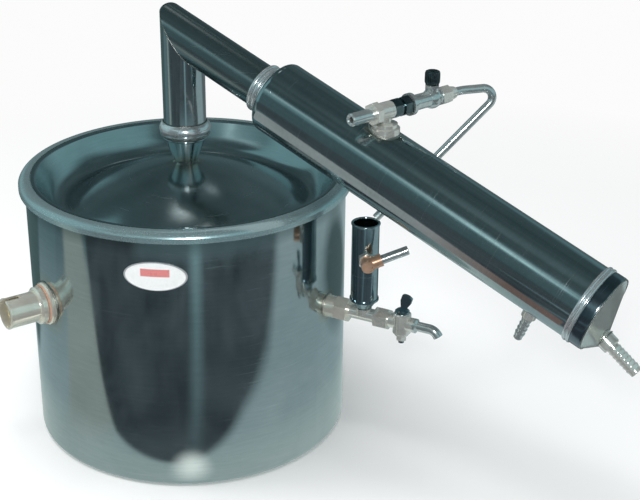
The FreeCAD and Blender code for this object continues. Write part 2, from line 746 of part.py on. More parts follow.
def valve_body():
    """Straight valve body with a bonnet that carries the spindle upright."""
    flange_at = TEE_FRONT + UNION_L
    body = rod(VALVE_FLANGE_R, flange_at, VALVE_BODY_AT).fuse(rod(VALVE_BODY_R * 0.86, VALVE_BODY_AT, NUT_AT))
    seat = Part.makeSphere(VALVE_BODY_R * 1.12, V(0, 0, VALVE_STEM_AT))
    ends = rod(VALVE_BODY_R * 2, VALVE_BODY_AT, NUT_AT)
    body = body.fuse(seat.common(ends))
    body = body.cut(rod(WATER_BORE_R, flange_at - PAST, NUT_AT + PAST))
    bonnet = rod(BONNET_R, WATER_BORE_R + 1.5, BONNET_H)
    bonnet = placed(bonnet, V(0, 0, VALVE_STEM_AT), V(1, 0, 0), V(0, 1, 0))
    spindle_hole = rod(SPINDLE_R + SPINDLE_GAP, 0, BONNET_H + PAST)
    spindle_hole = placed(spindle_hole, V(0, 0, VALVE_STEM_AT), V(1, 0, 0), V(0, 1, 0))
    return on_run(body.fuse(bonnet).cut(spindle_hole).removeSplitter())


def on_stem(shape):
    return shape.translated(V(TEE_X, 0, TEE_Z) + heading(RUN_AZ) * VALVE_STEM_AT)


def gland_nut():
    nut = hexagon(2 * BONNET_R, BONNET_H, BONNET_H + GLAND_H, 0.5)
    return on_stem(nut.cut(rod(SPINDLE_R + SPINDLE_GAP, 0, KNOB_H + BONNET_H)))


def valve_spindle():
    knob_z = BONNET_H + GLAND_H + KNOB_LIFT
    stem = rod(SPINDLE_R, WATER_BORE_R * 0.4, knob_z + KNOB_H - 2.5)
    return on_stem(stem)


def valve_knob():
    low = BONNET_H + GLAND_H + KNOB_LIFT
    high = low + KNOB_H
    knob = lathe((0, low), (KNOB_R * 0.62, low), (KNOB_R, low + 3.0), (KNOB_R, high - 2.0),
                 ((KNOB_R - 0.6, high - 0.6), (KNOB_R - 2.0, high)), (0, high - 0.8), (0, low))
    for step in range(KNOB_GROOVES):
        edge = heading(360 / KNOB_GROOVES * step) * (KNOB_R + 0.35)
        knob = knob.cut(rod(0.8, low, high + PAST).translated(edge))
    return on_stem(knob.cut(rod(SPINDLE_R, 0, high - 2.5)))


def compression_nut():
    collar = hexagon(NUT_AF, NUT_AT, NUT_AT + NUT_L * 0.6)
    nose = lathe((0, NUT_AT + NUT_L * 0.55), (NUT_AF / 2 - 0.4, NUT_AT + NUT_L * 0.55),
                 (NUT_NOSE_R, NUT_AT + NUT_L), (0, NUT_AT + NUT_L), (0, NUT_AT + NUT_L * 0.55))
    nut = collar.fuse(nose).cut(rod(FEED_TUBE_R + FIT_GAP, NUT_AT - PAST, NUT_AT + NUT_L + PAST))
    return on_run(nut.removeSplitter())


def feed_tube_points():
    run = heading(RUN_AZ)
    start = V(TEE_X, 0, TEE_Z) + run * (NUT_AT + 0.5)
    lead = V(TEE_X, 0, TEE_Z) + run * (NUT_AT + NUT_L + FEED_TUBE_LEAD)
    mouth = V(CUP_X, CUP_Y, CUP_TOP_Z + CUP_AIR_GAP) + heading(CUP_AIM_AZ) * CUP_AIM_R
    return [start, lead, FEED_TUBE_CORNER, mouth]


def feed_tube():
    radii = [FEED_TUBE_LEAD_BEND_R, FEED_TUBE_BEND_R]
    points = feed_tube_points()
    outer = swept(points, radii, FEED_TUBE_R)
    bore = swept(points, radii, FEED_TUBE_R - FEED_TUBE_T)
    return outer.cut(bore)


def feed_boss():
    inside = BOILER_BORE_R - 1.5
    spigot = rod(FEED_SPIGOT_R, inside, BOILER_R + 1)
    boss = rod(FEED_BOSS_R, BOILER_R / 2, FEED_BOSS_END)
    boss = on_feed(boss).cut(boiler_void()).fuse(on_feed(spigot))
    return boss.cut(on_feed(rod(FEED_BORE_R, inside - PAST, FEED_BOSS_END + PAST))).removeSplitter()


def feed_nut():
    nut = hexagon(FEED_NUT_AF, FEED_BOSS_END, FEED_BOSS_END + FEED_NUT_L, 1.4)
    return on_feed(nut.cut(rod(FEED_PIPE_R + FIT_GAP, 0, FEED_UNION_AT)))


def feed_tee():
    run = rod(FEED_PIPE_R, FEED_BOSS_END, FEED_UNION_AT)
    neck_top = CUP_BOTTOM_Z - CUP_CONE_H - FEED_Z
    branch = placed(rod(CUP_NECK_R, 0, neck_top), V(0, 0, CUP_AT), V(1, 0, 0), V(0, 1, 0))
    port = placed(rod(FEED_BORE_R, 0, neck_top + PAST), V(0, 0, CUP_AT), V(1, 0, 0), V(0, 1, 0))
    tee = run.fuse(branch).cut(port).cut(rod(FEED_BORE_R, 0, FEED_UNION_AT + PAST))
    return on_feed(tee.removeSplitter())


def at_cup(shape):
    return shape.translated(V(CUP_X, CUP_Y, 0))


def cup_cone():
    low = CUP_BOTTOM_Z - CUP_CONE_H
    lip = CUP_R + CUP_CONE_LIP
    return at_cup(lathe((FEED_BORE_R, low), (CUP_NECK_R, low), (CUP_NECK_R, low + 1.0),
                        (CUP_R - 0.6, CUP_BOTTOM_Z - 1.6), (lip, CUP_BOTTOM_Z - 0.8),
                        (lip, CUP_BOTTOM_Z + 0.9), (CUP_R, CUP_BOTTOM_Z + 0.9), (CUP_R, CUP_BOTTOM_Z),
                        (FEED_BORE_R, CUP_BOTTOM_Z), (FEED_BORE_R, low)))


def at_overflow(shape):
    return placed(shape, V(CUP_X, CUP_Y, OVERFLOW_Z), heading(OVERFLOW_AZ))


def cup_space():
    return at_cup(rod(CUP_R + FIT_GAP, 0, CUP_TOP_Z))


def level_cup():
    wall = pipe(CUP_R, CUP_R - CUP_T, CUP_BOTTOM_Z, CUP_TOP_Z - CUP_LIP_R)
    floor = pipe(CUP_R, FEED_BORE_R, CUP_BOTTOM_Z, CUP_BOTTOM_Z + CUP_T)
    lip = Part.makeTorus(CUP_R - CUP_T / 2 + 0.3, CUP_LIP_R, V(0, 0, CUP_TOP_Z - CUP_LIP_R))
    cup = at_cup(wall.fuse(floor).fuse(lip).removeSplitter())
    return cup.cut(at_overflow(rod(OVERFLOW_R + FIT_GAP, CUP_R / 2, CUP_R + PAST)))


def overflow_nut():
    nut = hexagon(OVERFLOW_NUT_AF, CUP_R / 2, CUP_R + OVERFLOW_NUT_L)
    nut = at_overflow(nut).cut(cup_space())
    spigot = at_overflow(rod(OVERFLOW_R, CUP_R - CUP_T - 0.6, CUP_R + 1))
    return nut.fuse(spigot).cut(at_overflow(rod(OVERFLOW_BORE_R, 0, 3 * CUP_R))).removeSplitter()


def elbow_centre():
    return V(CUP_X, CUP_Y, OVERFLOW_Z) + heading(OVERFLOW_AZ) * (CUP_R + OVERFLOW_NUT_L + ELBOW_L / 2)


def overflow_heading():
    return heading(OVERFLOW_AZ + 90, OVERFLOW_RISE_DEG)


def overflow_elbow():
    start = CUP_R + OVERFLOW_NUT_L
    stem = at_overflow(rod(ELBOW_R, start, start + ELBOW_L))
    arm = placed(rod(ELBOW_R, 0, ELBOW_ARM), elbow_centre(), overflow_heading())
    inlet = at_overflow(rod(OVERFLOW_BORE_R, start - PAST, start + ELBOW_L / 2 + 1.0))
    socket = rod(OVERFLOW_SPIGOT_R + FIT_GAP, ELBOW_R * 0.6, ELBOW_ARM + PAST)
    socket = placed(socket, elbow_centre(), overflow_heading())
    way = placed(rod(OVERFLOW_BORE_R, 0, ELBOW_ARM), elbow_centre(), overflow_heading())
    return stem.fuse(arm).removeSplitter().cut(inlet).cut(socket).cut(way)


def overflow_nozzle():
    """A hose nozzle that stands on the end of the elbow's arm, with a thinner spigot inside it."""
    start = ELBOW_R * 0.6
    end = ELBOW_ARM + OVERFLOW_L
    tube = lathe((OVERFLOW_BORE_R, start), (OVERFLOW_SPIGOT_R, start), (OVERFLOW_SPIGOT_R, ELBOW_ARM),
                 (OVERFLOW_R, ELBOW_ARM), (OVERFLOW_R, end - 0.6), (OVERFLOW_R - 0.6, end),
                 (OVERFLOW_BORE_R, end), (OVERFLOW_BORE_R, start))
    return placed(tube, elbow_centre(), overflow_heading())


def feed_union():
    union = hexagon(FEED_UNION_AF, FEED_UNION_AT, COCK_AT, 1.2)
    return on_feed(union.cut(rod(FEED_BORE_R, FEED_UNION_AT - PAST, COCK_AT + PAST)))


def at_plug(shape):
    return shape.translated(heading(FEED_AZ) * COCK_PLUG_AT + V(0, 0, FEED_Z))


def cock_body():
    half = COCK_BARREL_H / 2
    arm = on_feed(rod(COCK_ARM_R, COCK_AT, COCK_AT + COCK_L))
    barrel = lathe((0, -half), (COCK_BARREL_R - 1.2, -half), (COCK_BARREL_R, -half + 1.2),
                   (COCK_BARREL_R, half - 1.2), (COCK_BARREL_R - 1.2, half), (0, half), (0, -half))
    body = arm.fuse(at_plug(barrel))
    body = body.cut(on_feed(rod(COCK_PORT_R, COCK_AT - PAST, COCK_AT + COCK_L + PAST)))
    return body.cut(at_plug(rod(COCK_PLUG_R + COCK_RUN_GAP, -half - PAST, half + PAST))).removeSplitter()


def cock_plug():
    half = COCK_BARREL_H / 2
    plug = rod(COCK_PLUG_R, -half, half).fuse(rod(COCK_TAIL_R, -half - COCK_TAIL_H, -half))
    plug = at_plug(plug)
    return plug.cut(on_feed(rod(COCK_PORT_R, COCK_AT, COCK_AT + COCK_L)))


def cock_handle():
    """A flat thumb piece that stands on the plug and leans outward."""
    half = COCK_BARREL_H / 2
    waist = COCK_HANDLE_W * 0.28
    wide = COCK_HANDLE_W / 2
    top = COCK_HANDLE_H
    paddle = outline((-waist, -PAST), (waist, -PAST), (waist, top * 0.3), (wide, top * 0.62),
                     (wide, top - 1.5), ((0, top), (-wide, top - 1.5)), (-wide, top * 0.62),
                     (-waist, top * 0.3), (-waist, -PAST))
    blade = paddle.extrude(V(0, COCK_HANDLE_T, 0)).translated(V(0, -COCK_HANDLE_T / 2, 0))
    blade.rotate(V(0, 0, 0), V(0, 1, 0), COCK_HANDLE_LEAN_DEG)
    blade = blade.common(rod(4 * COCK_HANDLE_H, 0, 2 * COCK_HANDLE_H))
    hub = lathe((0, 0), (COCK_PLUG_R + 1.4, 0), (COCK_PLUG_R + 1.4, 1.8), (COCK_PLUG_R, 3.0), (0, 3.0),
                (0, 0))
    handle = hub.fuse(blade).removeSplitter()
    handle.rotate(V(0, 0, 0), V(0, 0, 1), FEED_AZ)
    return at_plug(handle.translated(V(0, 0, half + COCK_RUN_GAP)))


def cock_washer():
    top = -COCK_BARREL_H / 2 - COCK_RUN_GAP
    return at_plug(pipe(COCK_PLUG_R + 1.2, COCK_TAIL_R + FIT_GAP, top - COCK_WASHER_T, top))


def cock_tail_nut():
    top = -COCK_BARREL_H / 2 - COCK_RUN_GAP - COCK_WASHER_T
    nut = hexagon(COCK_NUT_AF, top - COCK_NUT_H, top, 0.6)
    return at_plug(nut.cut(rod(COCK_TAIL_R + FIT_GAP, top - COCK_NUT_H - PAST, top + PAST)))


def drain_spout():
    start = COCK_AT + COCK_L
    turn = math.radians(SPOUT_BEND_DEG)
    corner = start + SPOUT_L + SPOUT_BEND_R * math.tan(turn / 2)
    tip_run = SPOUT_BEND_R * math.tan(turn / 2) + 2.0
    tip = V(-tip_run * math.sin(turn), 0, corner + tip_run * math.cos(turn))
    points = [V(0, 0, start), V(0, 0, corner), tip]
    collar = lathe((FEED_BORE_R, start), (COCK_ARM_R, start), (COCK_ARM_R, start + 2.0),
                   (SPOUT_R, start + 3.2), (FEED_BORE_R, start + 3.2), (FEED_BORE_R, start))
    outer = swept(points, [SPOUT_BEND_R], SPOUT_R)
    bore = swept(points, [SPOUT_BEND_R], FEED_BORE_R)
    return on_feed(outer.fuse(collar).removeSplitter().cut(bore))


def heater_boss():
    end = BOILER_R + HEATER_BOSS_L
    bore = HEATER_THREAD_R + FIT_GAP
    boss = lathe((bore, BOILER_R / 2), (HEATER_BOSS_R, BOILER_R / 2), (HEATER_BOSS_R, end - 1.2),
                 (HEATER_BOSS_R - 1.2, end), (bore, end), (bore, BOILER_R / 2))
    return on_heater(boss).cut(boiler_void())


def heater_washer():
    start = BOILER_R + HEATER_BOSS_L
    return on_heater(pipe(HEATER_WASHER_R, HEATER_THREAD_R + FIT_GAP, start, start + HEATER_WASHER_T))


def heater_flange_start():
    return BOILER_R + HEATER_BOSS_L + HEATER_WASHER_T


def shroud_start():
    return heater_flange_start() + HEATER_FLANGE_L


def heater_body():
    start = heater_flange_start()
    end = shroud_start()
    inner_end = BOILER_R - HEATER_SPIGOT_L
    body = lathe((0, inner_end), (HEATER_THREAD_R, inner_end), (HEATER_THREAD_R, start),
                 (HEATER_FLANGE_R - 0.8, start), (HEATER_FLANGE_R, start + 0.8),
                 (HEATER_FLANGE_R, end - 1.6), (HEATER_FLANGE_R - 1.6, end), (0, end), (0, inner_end))
    for side in (-1, 1):
        leg = rod(ELEMENT_R, inner_end - PAST, inner_end + 4.0)
        body = body.cut(leg.translated(V(0, side * ELEMENT_HALF_GAP, 0)))
    return on_heater(body)


def heater_backnut():
    edge = math.sqrt(BOILER_BORE_R ** 2 - (HEATER_BACKNUT_AF / math.sqrt(3)) ** 2)
    top = edge - HEATER_BACKNUT_GAP
    nut = hexagon(HEATER_BACKNUT_AF, top - HEATER_BACKNUT_L, top, 1.5)
    return on_heater(nut.cut(rod(HEATER_THREAD_R + FIT_GAP, top - HEATER_BACKNUT_L - PAST, top + PAST)))


def heater_shroud():
    start = shroud_start()
    end = start + SHROUD_L
    bore = SHROUD_R - SHROUD_T
    lip = SHROUD_R + SHROUD_LIP
    shroud = lathe((bore, start), (SHROUD_R, start), (SHROUD_R, end - SHROUD_LIP_H),
                   (lip, end - SHROUD_LIP_H + 0.5), (lip, end - 0.5), (lip - 0.5, end), (bore, end),
                   (bore, start))
    slot = Part.makeBox(SHROUD_R + PAST, SHROUD_SLOT_W, SHROUD_SLOT_L + PAST)
    slot = slot.translated(V(0, -SHROUD_SLOT_W / 2, end - SHROUD_SLOT_L))
    return on_heater(shroud.cut(slot))


def heater_insulator():
    start = shroud_start()
    disc = rod(SHROUD_R - SHROUD_T, start, start + INSULATOR_T)
    for centre in pin_centres():
        disc = disc.cut(rod(PIN_R, start - PAST, start + INSULATOR_T + PAST).translated(centre))
    return on_heater(disc)


def pin_centres():
    return [heading(120 * step) * PIN_RING_R for step in range(3)]


def heater_pins():
    start = shroud_start()
    end = start + INSULATOR_T + PIN_L
    pins = []
    for centre in pin_centres():
        pin = lathe((0, start), (PIN_R, start), (PIN_R, end - 1.2),
                    ((PIN_R - 0.5, end - 0.4), (PIN_R - 1.4, end)), (0, end), (0, start))
        pins.append(pin.translated(centre))
    return on_heater(Part.makeCompound(pins))


def heating_element():
    """Two legs that run in, drop near the base and cross it, joined by a half turn."""
    start = BOILER_R - HEATER_SPIGOT_L + 4.0
    knee = BOILER_R - HEATER_SPIGOT_L - ELEMENT_IN
    radii = [ELEMENT_BEND_R, ELEMENT_BEND_R]
    far = V(-ELEMENT_DROP, ELEMENT_HALF_GAP, ELEMENT_FAR)
    leg = swept([V(0, ELEMENT_HALF_GAP, start), V(0, ELEMENT_HALF_GAP, knee),
                 V(-ELEMENT_DROP, ELEMENT_HALF_GAP, knee), far], radii, ELEMENT_R)
    other = leg.mirror(V(0, 0, 0), V(0, 1, 0))
    section = Part.Face(Part.Wire([Part.makeCircle(ELEMENT_R, far, V(0, 0, 1))]))
    turn = section.revolve(V(-ELEMENT_DROP, 0, ELEMENT_FAR), V(-1, 0, 0), 180)
    return on_heater(leg.fuse(other).fuse(turn).removeSplitter())


def parts():
    return {
        "boiler_shell": boiler_shell(),
        "lid_gasket": lid_gasket(),
        "oval_badge": oval_badge(),
        "heater_boss": heater_boss(),
        "heater_washer": heater_washer(),
        "heater_body": heater_body(),
        "heater_backnut": heater_backnut(),
        "heater_shroud": heater_shroud(),
        "heater_insulator": heater_insulator(),
        "heater_pins": heater_pins(),
        "heating_element": heating_element(),
        "feed_boss": feed_boss(),
        "feed_nut": feed_nut(),
        "feed_tee": feed_tee(),
        "cup_cone": cup_cone(),
        "level_cup": level_cup(),
        "overflow_nut": overflow_nut(),
        "overflow_elbow": overflow_elbow(),
        "overflow_nozzle": overflow_nozzle(),
        "feed_union": feed_union(),
        "cock_body": cock_body(),
        "cock_plug": cock_plug(),
        "cock_handle": cock_handle(),
        "cock_washer": cock_washer(),
        "cock_tail_nut": cock_tail_nut(),
        "drain_spout": drain_spout(),
        "lid_dish": lid_dish(),
        "lid_rim": lid_rim(),
        "vapour_socket": vapour_socket(),
        "splash_baffle": splash_baffle(),
        "taper_seal": taper_seal(),
        "column_spigot": column_spigot(),
        "column_collar": column_collar(),
        "vapour_pipe": vapour_pipe(),
        "neck_collar": neck_collar(),
        "jacket_top_cap": jacket_top_cap(),
        "cooling_jacket": cooling_jacket(),
        "jacket_end_bead": jacket_end_bead(),
        "upper_tube_plate": tube_plate(upper_plate_start()),
        "lower_tube_plate": tube_plate(lower_plate_start()),
        "condensing_tubes": condensing_tubes(),
        "outlet_cone": outlet_cone(),
        "outlet_collar": outlet_collar(),
        "distillate_nozzle": distillate_nozzle(),
        "cooling_inlet_boss": cooling_inlet_boss(),
        "cooling_inlet_nozzle": cooling_inlet_nozzle(),
        "water_boss": water_boss(),
        "outlet_tee": outlet_tee(),
        "drain_nozzle": drain_nozzle(),
        "valve_union": valve_union(),
        "valve_body": valve_body(),
        "gland_nut": gland_nut(),
        "valve_spindle": valve_spindle(),
        "valve_knob": valve_knob(),
        "compression_nut": compression_nut(),
        "feed_tube": feed_tube(),
    }


def main():
    os.makedirs("parts", exist_ok=True)
    for name, shape in parts().items():
        print(name, "solids", len(shape.Solids), "valid", shape.isValid(), "mm3", round(shape.Volume, 1))
        shape.exportStep("parts/" + name + ".step")


main()
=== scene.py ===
import bmesh
import bpy
import math
import random
from mathutils import Matrix, Vector


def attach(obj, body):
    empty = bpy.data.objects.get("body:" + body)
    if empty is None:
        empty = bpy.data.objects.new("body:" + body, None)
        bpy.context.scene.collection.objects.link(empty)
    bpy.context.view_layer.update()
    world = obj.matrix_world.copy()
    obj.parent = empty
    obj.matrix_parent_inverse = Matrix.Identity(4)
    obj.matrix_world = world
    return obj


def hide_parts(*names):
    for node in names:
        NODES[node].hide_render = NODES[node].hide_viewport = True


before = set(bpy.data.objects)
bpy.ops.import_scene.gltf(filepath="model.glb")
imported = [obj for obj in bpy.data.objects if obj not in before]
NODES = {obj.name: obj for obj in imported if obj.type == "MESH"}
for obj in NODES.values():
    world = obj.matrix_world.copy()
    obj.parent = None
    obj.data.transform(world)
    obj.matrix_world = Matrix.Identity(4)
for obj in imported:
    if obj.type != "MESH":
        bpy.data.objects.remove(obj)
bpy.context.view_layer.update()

MM = 0.001
UP = Vector((0, 0, 1))
random.seed(7)

# Camera, fitted to the picture's frame, in metres
CAMERA_AT = Vector((0.7592, -0.9048, 0.6894))
CAMERA_FORWARD = Vector((-0.51157885, 0.75638065, -0.40764616))
CAMERA_UP = Vector((-0.23673465, 0.33198969, 0.9130934))
CAMERA_LENS = 77.68
CAMERA_SENSOR = 36.0

# Level directions from the object, as the picture's viewer names them
TOWARDS_CAMERA = Vector((0.5603, -0.8283, 0.0))
CAMERA_RIGHT = Vector((0.8283, 0.5603, 0.0))

# Sizes and places shared with the solids, in millimetres
BOILER_R = 145.0
JACKET_R = 31.75
PIPE_R = 19.05
WATER_BOSS_R = 12.6
WATER_BOSS_X = 209.0
BADGE_HALF_HEIGHT = 13.0
BADGE_HALF_WIDTH = 27.0
SLOPE = math.radians(20.6)
ALONG = Vector((math.cos(SLOPE), 0, -math.sin(SLOPE)))
ABOVE = Vector((math.sin(SLOPE), 0, math.cos(SLOPE)))
MITRE_HEIGHT = 370.0
MITRE = Vector((0, 0, MITRE_HEIGHT))


def heading(azimuth_deg, rise_deg=0.0):
    """A direction from its angle round +Z and its angle above the level."""
    azimuth = math.radians(azimuth_deg)
    rise_angle = math.radians(rise_deg)
    level = math.cos(rise_angle)
    return Vector((level * math.cos(azimuth), level * math.sin(azimuth), math.sin(rise_angle)))


def axis_frame(origin, z_dir, x_dir=UP):
    """Millimetres about an axis of the object, as a matrix without scale."""
    z = Vector(z_dir).normalized()
    x = Vector(x_dir)
    x = (x - z * x.dot(z)).normalized()
    turn = Matrix((x, z.cross(x), z)).transposed().to_4x4()
    turn.translation = Vector(origin)
    return turn


UPRIGHT = Matrix.Identity(4)
CONDENSER = axis_frame(MITRE, ALONG, ABOVE)
HEATER = axis_frame((0, 0, 149), heading(-110.3))
FEED = axis_frame((0, 0, 140.5), heading(7))
BADGE = axis_frame((0, 0, 204), heading(-61.4))
KNOB = Matrix.Translation(Vector((WATER_BOSS_X, 0, 340)) + heading(75) * 52.5)
INLET = axis_frame(MITRE + ALONG * 386.5, -ABOVE, ALONG)
OUTLET = axis_frame(MITRE + ALONG * 447 - ABOVE * 17.8, heading(0, -36), (0, 1, 0))


# Node helpers

def node(tree, kind, inputs=None, **settings):
    """Adds a node. An input is a socket to link or a value to set."""
    made = tree.nodes.new(kind)
    for name, value in settings.items():
        setattr(made, name, value)
    for key, value in (inputs or {}).items():
        socket = made.inputs[key]
        if isinstance(value, bpy.types.NodeSocket):
            tree.links.new(value, socket)
        else:
            socket.default_value = value
    return made


def calculate(tree, operation, *values):
    return node(tree, "ShaderNodeMath", dict(enumerate(values)), operation=operation).outputs[0]


def chain(tree, operation, values):
    result = values[0]
    for value in values[1:]:
        result = calculate(tree, operation, result, value)
    return result


def plus(tree, *values):
    return chain(tree, "ADD", values)


def minus(tree, *values):
    return chain(tree, "SUBTRACT", values)


def times(tree, *values):
    return chain(tree, "MULTIPLY", values)


def over(tree, *values):
    return chain(tree, "DIVIDE", values)


def largest(tree, *values):
    return chain(tree, "MAXIMUM", values)


def vector_node(tree, operation, *vectors):
    return node(tree, "ShaderNodeVectorMath", dict(enumerate(vectors)), operation=operation)


def dot(tree, vector, direction):
    return vector_node(tree, "DOT_PRODUCT", vector, direction).outputs["Value"]


def distance(tree, vector, point):
    return vector_node(tree, "DISTANCE", vector, point).outputs["Value"]


def size_of(tree, vector):
    return vector_node(tree, "LENGTH", vector).outputs["Value"]


def split(tree, vector):
    return node(tree, "ShaderNodeSeparateXYZ", {0: vector}).outputs


def object_place(tree):
    """Metres in the object's own frame."""
    return node(tree, "ShaderNodeTexCoord").outputs["Object"]


def local_place(tree, where):
    """Metres in the frame of an axis."""
    inputs = {"Vector": object_place(tree)}
    mapping = node(tree, "ShaderNodeMapping", inputs, vector_type="TEXTURE")
    mapping.inputs["Location"].default_value = where.translation * MM
    mapping.inputs["Rotation"].default_value = where.to_euler()
    return mapping.outputs[0]


def noise(tree, vector, scale, detail=3.0, rough=0.5, distortion=0.0):
    inputs = {"Vector": vector, "Scale": scale, "Detail": detail}
    inputs.update({"Roughness": rough, "Distortion": distortion})
    return node(tree, "ShaderNodeTexNoise", inputs).outputs["Fac"]


def remap(tree, value, low, high, new_low, new_high):
    inputs = {0: value, 1: low, 2: high, 3: new_low, 4: new_high}
    return node(tree, "ShaderNodeMapRange", inputs, clamp=True).outputs[0]


def rise(tree, value, start, end):
    """Zero at the start value, one at the end value."""
    return remap(tree, value, start, end, 0.0, 1.0)


def fall(tree, value, start, end):
    """One at the start value, zero at the end value."""
    return remap(tree, value, start, end, 1.0, 0.0)


def inside(tree, value, low, high, soft):
    """One between low and high, with soft edges outside them."""
    return times(tree, rise(tree, value, low - soft, low), fall(tree, value, high, high + soft))


def blend(tree, factor, first, second):
    """Mixes two colours. A colour is a socket or three numbers."""
    mixer = node(tree, "ShaderNodeMix", {0: factor}, data_type="RGBA")
    for index, colour in ((6, first), (7, second)):
        if isinstance(colour, bpy.types.NodeSocket):
            tree.links.new(colour, mixer.inputs[index])
        else:
            mixer.inputs[index].default_value = (*colour, 1)
    return mixer.outputs[2]


def layered(tree, colour, layers):
    """Lays (mask, colour) pairs over a colour, one after the other."""
    for mask, tone in layers:
        colour = blend(tree, mask, colour, tone)
    return colour


# Materials of the object

def new_material(name, metallic):
    mat = bpy.data.materials.new(name)
    mat.use_nodes = True
    tree = mat.node_tree
    shader = tree.nodes["Principled BSDF"]
    shader.inputs["Metallic"].default_value = metallic
    return mat, tree, shader


def dressed(tree, shader, colour, gloss, *bumps):
    """Links colour and roughness, and stacks (height socket, depth in metres) pairs into the normal."""
    tree.links.new(colour, shader.inputs["Base Color"])
    tree.links.new(gloss, shader.inputs["Roughness"])
    normal = None
    for height, depth in bumps:
        bump = node(tree, "ShaderNodeBump", {"Height": height, "Distance": depth, "Strength": 1.0})
        if normal is not None:
            tree.links.new(normal, bump.inputs["Normal"])
        normal = bump.outputs[0]
    tree.links.new(normal, shader.inputs["Normal"])


def ring_place(tree, place):
    """A vector that runs slowly round the axis and fast along it, for the lines on turned pieces."""
    slow = 0.012
    x, y, height = split(tree, place)
    radius = calculate(tree, "SQRT", plus(tree, times(tree, x, x), times(tree, y, y), 1e-9))
    cosine = times(tree, over(tree, x, radius), slow)
    sine = times(tree, over(tree, y, radius), slow)
    inputs = {0: cosine, 1: sine, 2: plus(tree, height, radius)}
    return node(tree, "ShaderNodeCombineXYZ", inputs).outputs[0]


def heat_tint(tree, colour, spots):
    """Straw and blue rings where the sheet was welded. A spot is a place and a reach, in millimetres."""
    straw = (0.50, 0.43, 0.28)
    blue = (0.26, 0.27, 0.34)
    place = object_place(tree)
    uneven = times(tree, noise(tree, place, 130.0, 4.0, 0.6), 0.5)
    for centre, reach in spots:
        away = distance(tree, place, tuple(Vector(centre) * MM))
        away = plus(tree, over(tree, away, reach * MM), uneven)
        colour = blend(tree, remap(tree, away, 1.0, 1.5, 0.45, 0.0), colour, straw)
        colour = blend(tree, remap(tree, away, 0.8, 1.2, 0.5, 0.0), colour, blue)
    return colour


def scratches(tree, place):
    """Thin random lines in three directions, one on a line and zero beside it."""
    families = []
    for turn in (0.3, 1.4, 2.5):
        mapping = node(tree, "ShaderNodeMapping", {"Vector": place})
        mapping.inputs["Rotation"].default_value = (turn, turn * 0.7, turn * 1.9)
        mapping.inputs["Scale"].default_value = (6.0, 6.0, 260.0)
        lines = noise(tree, mapping.outputs[0], 3.0, 2.0, 0.5, 0.2)
        families.append(rise(tree, lines, 0.70, 0.74))
    return largest(tree, *families)


def sheet_colour(tree, place, ring, light, dark):
    """Cloudy tone with faint rings and a few darker specks."""
    cloud = times(tree, noise(tree, place, 11.0, 6.0, 0.6, 0.4), 0.7)
    coarse = times(tree, noise(tree, ring, 420.0, 3.0, 0.6), 0.3)
    colour = blend(tree, rise(tree, plus(tree, cloud, coarse), 0.36, 0.64), dark, light)
    specks = remap(tree, noise(tree, place, 160.0, 4.0, 0.8), 0.66, 0.74, 0.0, 0.35)
    return blend(tree, specks, colour, tuple(channel * 0.75 for channel in dark))


def sheet_gloss(tree, place, fine, rough):
    """Roughness from smears and from the fine lines round the axis."""
    smear = noise(tree, place, 34.0, 8.0, 0.7, 1.6)
    mixed = plus(tree, times(tree, smear, 0.65), times(tree, fine, 0.35))
    return remap(tree, mixed, 0.35, 0.68, *rough)


def past_mitre(tree, place):
    """One on the sloping pipe and zero on the upright, either side of the mitred joint."""
    joint = MITRE_HEIGHT * MM * (1 - math.sin(SLOPE))
    return rise(tree, dot(tree, place, UP + ALONG), joint, joint + 0.002)


def steel(name, where, light, dark, rough=(0.06, 0.15), lines=4e-6, ripple=6e-5, metallic=1.0, spots=(),
          painted_shade_under_rim=False, rough_slope_painted_shade=False):
    """Polished sheet with lines round an axis, scratches, weld tints and a slight ripple. It may add
    painted shade under the lid's rim, and painted shade with more roughness past the mitre.
    """
    mat, tree, shader = new_material(name, metallic)
    place = local_place(tree, where)
    ring = ring_place(tree, place)
    fine = noise(tree, ring, 2600.0, 2.0, 0.7)
    colour = sheet_colour(tree, place, ring, light, dark)
    scored = scratches(tree, place)
    gloss = plus(tree, sheet_gloss(tree, place, fine, rough), times(tree, scored, 0.12))
    # Painted shade: the wall turns darker just under the lid's rim, as the rim's shadow.
    if painted_shade_under_rim:
        under_rim_shade = remap(tree, split(tree, place)[2], 0.221, 0.231, 0.0, 0.55)
        colour = blend(tree, under_rim_shade, colour, (0.14, 0.18, 0.18))
    # Past the mitre the pipe gets a darker colour, which is painted shade, and more roughness.
    if rough_slope_painted_shade:
        sloping = past_mitre(tree, place)
        colour = blend(tree, times(tree, sloping, 0.6), colour, (0.26, 0.29, 0.29))
        gloss = plus(tree, gloss, times(tree, sloping, 0.13))
    colour = blend(tree, times(tree, scored, 0.25), colour, (0.66, 0.70, 0.70))
    colour = heat_tint(tree, colour, spots)
    waves = noise(tree, place, 16.0, 2.0)
    dressed(tree, shader, colour, gloss, (waves, ripple), (fine, lines))
    return mat


def cast(name, light, dark, worn, rough, grain=3e-5, wear=(0.60, 0.72), metallic=1.0):
    """Plated or bare cast metal with a grainy skin and worn patches."""
    mat, tree, shader = new_material(name, metallic)
    place = object_place(tree)
    cloud = noise(tree, place, 90.0, 6.0, 0.65, 0.5)
    colour = blend(tree, rise(tree, cloud, 0.35, 0.65), dark, light)
    patches = noise(tree, place, 240.0, 5.0, 0.7, 0.8)
    colour = blend(tree, remap(tree, patches, *wear, 0.0, 0.9), colour, worn)
    gloss = remap(tree, noise(tree, place, 150.0, 6.0, 0.7), 0.3, 0.7, *rough)
    skin = noise(tree, place, 1500.0, 3.0, 0.6)
    dressed(tree, shader, colour, gloss, (skin, grain), (cloud, grain * 2))
    return mat


